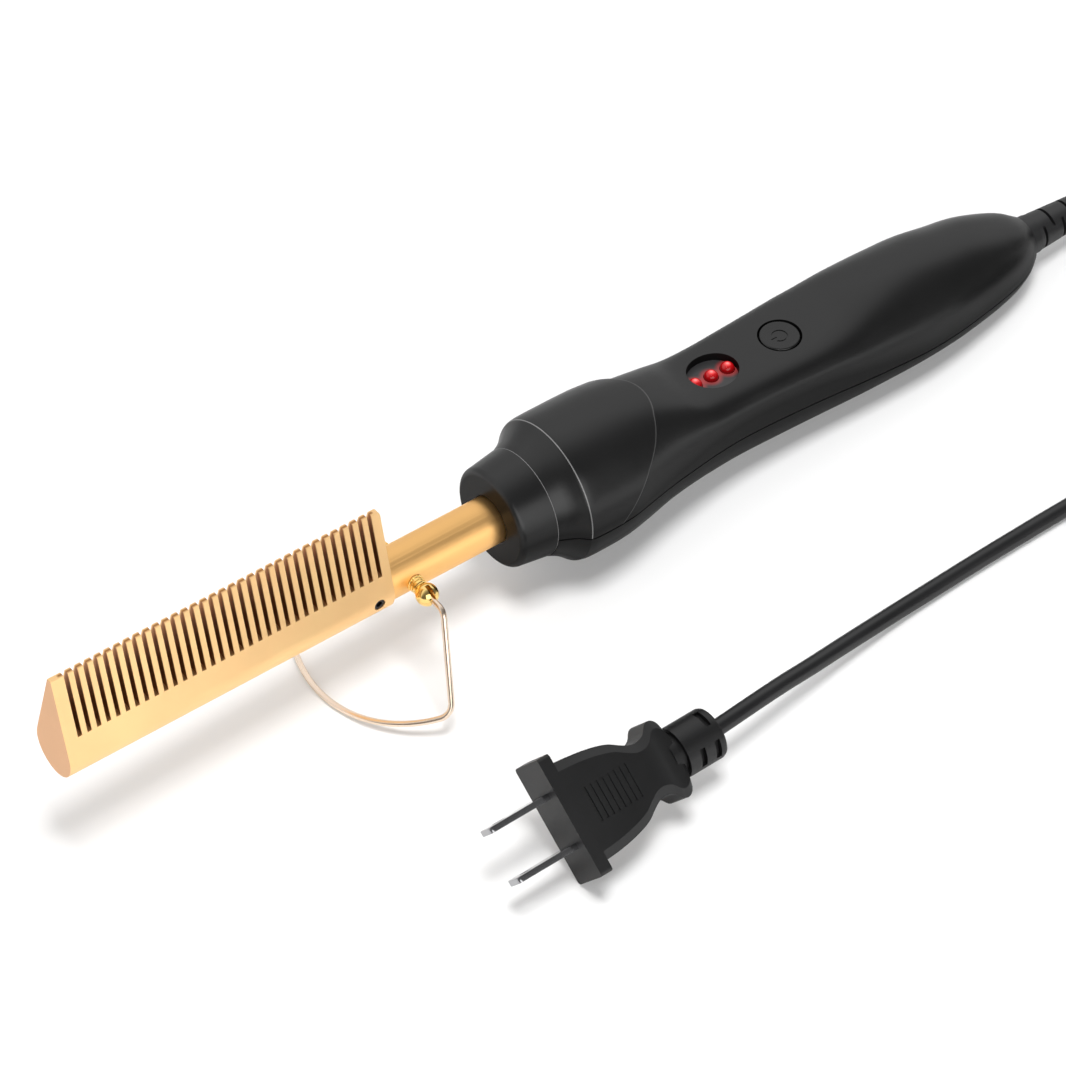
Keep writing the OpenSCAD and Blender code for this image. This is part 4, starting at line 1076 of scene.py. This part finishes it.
def plug_point(i, k):
    x = PLUG_FROM + PLUG_SPAN * i / PLUG_RINGS
    half, thick = station(PLUG, x)
    flat, rim = half - CHAMFER_W, thick - CHAMFER_H
    y, z = ((half, rim), (flat, thick), (-flat, thick), (-half, rim), (-half, -rim), (-flat, -thick),
            (flat, -thick), (half, -rim))[k]
    return Vector((x, y, z)) / 1000


def blade_blank(name, side, tip):
    """A blade's strip, from its tip to its root in the plug."""
    y = side * BLADE_GAP / 2
    return box(name, (tip, y - BLADE_T / 2, -BLADE_W / 2), (BLADE_ROOT, y + BLADE_T / 2, BLADE_W / 2))


plug = lofted("plug", 8, PLUG_RINGS, plug_point)
flange = box("flange", (0, -FLANGE_W / 2, -FLANGE_H / 2), (FLANGE_T, FLANGE_W / 2, FLANGE_H / 2))
edit(flange, "EDGE")
round_edges(flange, lambda line: abs(line.verts[0].co.x - line.verts[1].co.x) > 0.001, CORNER_ROUND, 5)
cut(plug, flange, "UNION")
neck_r = COLLAR_R - 0.0012
collar = turned("collar", [(0.030, COLLAR_R), (0.0316, COLLAR_R), (0.0316, neck_r), (0.0332, neck_r),
                           (0.0332, COLLAR_R), (PLUG_LEN - 0.001, COLLAR_R),
                           (PLUG_LEN - 0.0003, COLLAR_R - 0.0003), (PLUG_LEN, COLLAR_R - 0.001)], sides=96)
cut(plug, collar, "UNION")
for x, turns in ((0.0363, (40, 220)), (0.0405, (-40, 40, 140, 220))):
    for angle in turns:
        slit = box("slit", (x, -0.0025, COLLAR_R - 0.0014), (x + 0.0015, 0.0025, COLLAR_R + 0.003))
        cut(plug, set_down(slit, Matrix.Rotation(math.radians(angle), 4, "X")))
for i in range(RIBS):
    x = 0.0064 + i * RIB_PITCH
    thick = station(PLUG, x * 1000)[1] / 1000
    for low, high in ((thick - GROOVE_DEPTH, 0.01), (-0.01, GROOVE_DEPTH - thick)):
        cut(plug, box("groove", (x, -0.0043, low), (x + GROOVE_W, 0.0043, high)))
for side in (-1, 1):
    cut(plug, blade_blank("slot", side, -0.001))
break_edges(plug, 0.0003, segments=3, from_angle=24, smooth=30)
set_down(plug, PLUG_PLACE)
plug_pvc = moulded_finish("black plug moulding", (0.0055, 0.0055, 0.0057), 0.38, grain=3500.0, bump=0.25,
                          sheen_level=0.42)
give(plug, plug_pvc, "comb", "plug_body", slot="plug_black")


# ---------------------------------------------------------------- plug blades
# Two flat blades stamped from brass strip and nickel plated, each with a hole near its
# rounded tip. The plug is moulded round their roots.

BLADE_LEN = 0.0165
BLADE_HOLE_R = 0.0016


def blade(name, side):
    piece = blade_blank(name, side, -BLADE_LEN)
    edit(piece, "EDGE")
    round_edges(piece, lambda line: all(v.co.x < -BLADE_LEN + NEAR for v in line.verts)
                and abs(line.verts[0].co.y - line.verts[1].co.y) > 0.001, CORNER_ROUND, 4)
    x, y = 0.004 - BLADE_LEN, side * BLADE_GAP / 2
    drill(piece, (x, y - 0.002, 0), (x, y + 0.002, 0), BLADE_HOLE_R, sides=40)
    break_edges(piece, 0.00018, from_angle=40)
    return set_down(piece, PLUG_PLACE)


nickel = plated_finish("nickel plate", (0.36, 0.36, 0.37), 0.14, grain=0.1)
near_blade = give(blade("near_blade", -1), nickel, "comb", "plug_blade_near", slot="steel")
far_blade = give(blade("far_blade", 1), nickel, "comb", "plug_blade_far", slot="steel")


# ---------------------------------------------------------------- inner works
# What is closed in or shows only through gaps: heater and leads, bush and clip, board and
# its components, the switch, the cord's clamp and all the screws. Each keeps its own finish.

finishes = {
    "satin_gold": satin_gold,
    "polished_gold": polished_gold,
    "black_shell": black_moulding,
    "cord_sheath": black_sheath,
    "plug_black": plug_pvc,
    "steel": nickel,
    "heater": moulded_finish("alumina ceramic", (0.75, 0.73, 0.68), 0.6, grain=2500.0),
    "heat_bush": moulded_finish("brown phenolic", (0.12, 0.05, 0.025), 0.5, grain=1500.0),
    "lead_sleeve": moulded_finish("glass-fibre sleeve", (0.7, 0.68, 0.62), 0.7, grain=6000.0, bump=0.4),
    "board": moulded_finish("green circuit board", (0.01, 0.09, 0.035), 0.35, grain=1200.0),
    "component_black": moulded_finish("black component", (0.02, 0.02, 0.021), 0.4),
    "component_red": moulded_finish("red film capacitor", (0.28, 0.02, 0.015), 0.35, grain=1500.0),
    "ivory": moulded_finish("ivory nylon", (0.62, 0.57, 0.45), 0.45, grain=3000.0),
}
for sub in frame["record"]["subparts"]:
    finish = finishes.get(sub["material_slot"])
    for slot in nodes[sub["node"]].material_slots if finish else ():
        slot.material = finish


# ---------------------------------------------------------------- floor, light
# A seamless white table under a ceiling that is bright on the far side, with a softbox
# overhead, one at the near left and a card that lights only the neck tube.

FLOOR_GLOW = 0.15

bpy.ops.object.select_all(action="DESELECT")
bpy.ops.mesh.primitive_plane_add(size=8, location=(0, 0, -0.0002))
floor = bpy.context.object
floor.name = "floor"
paper = bpy.data.materials.new("white paper")
paper.use_nodes = True
t = paper.node_tree
t.nodes.clear()
diffuse = set_node(t, "ShaderNodeBsdfDiffuse", {"Color": (0.68, 0.68, 0.68, 1)})
rays = set_node(t, "ShaderNodeLightPath").outputs
seen = calc_all(t, "MAXIMUM", rays["Is Camera Ray"], rays["Is Glossy Ray"], rays["Is Transmission Ray"])
glow = set_node(t, "ShaderNodeEmission", {"Strength": calc(t, "MULTIPLY", seen, FLOOR_GLOW)})
both = set_node(t, "ShaderNodeAddShader", {0: diffuse.outputs[0], 1: glow.outputs[0]})
set_node(t, "ShaderNodeOutputMaterial", {"Surface": both.outputs[0]})
floor.data.materials.append(paper)


def softbox(name, place, target, size, power):
    lamp = bpy.data.lights.new(name, "AREA")
    lamp.shape = "RECTANGLE"
    lamp.size, lamp.size_y = size
    lamp.energy = power
    obj = bpy.data.objects.new(name, lamp)
    scene.collection.objects.link(obj)
    obj.location = place
    obj.rotation_euler = (Vector(target) - Vector(place)).to_track_quat("-Z", "Y").to_euler()
    return obj


softbox("overhead", (-0.05, -0.22, 1.25), (0, 0, 0), (0.42, 0.42), 13.5).visible_glossy = False
softbox("near_left", (-0.26, -1.05, 0.5), (0, 0, 0.02), (1.3, 0.9), 8)
neck_card = softbox("neck_card", (0.44, -0.9, 0.24), (-0.05, 0, 0.03), (0.6, 0.45), 1.6)
neck_only = bpy.data.collections.new("neck only")
neck_only.objects.link(neck)
neck_card.light_linking.receiver_collection = neck_only


def studio_world():
    """A bright ceiling over the far side and a dark one over the near side, by the angle about the comb."""
    world = bpy.data.worlds.new("studio")
    world.use_nodes = True
    t = world.node_tree
    way = set_node(t, "ShaderNodeSeparateXYZ", {0: set_node(t, "ShaderNodeTexCoord").outputs["Generated"]})
    angle = calc(t, "ARCTAN2", way.outputs["Z"], calc(t, "MULTIPLY", way.outputs["Y"], -1))
    greys = [(0, 0.2), (50 / 180, 0.15), (75 / 180, 0.22), (90 / 180, 0.55), (102 / 180, 1), (130 / 180, 1.1),
             (155 / 180, 0.95), (1, 0.75)]
    ceiling = ramp(t, calc(t, "DIVIDE", angle, math.pi), [(share, (grey,) * 3) for share, grey in greys])
    fill(t, t.nodes["Background"], {"Color": ceiling})
    return world


scene.world = studio_world()
scene.view_settings.view_transform = "Standard"
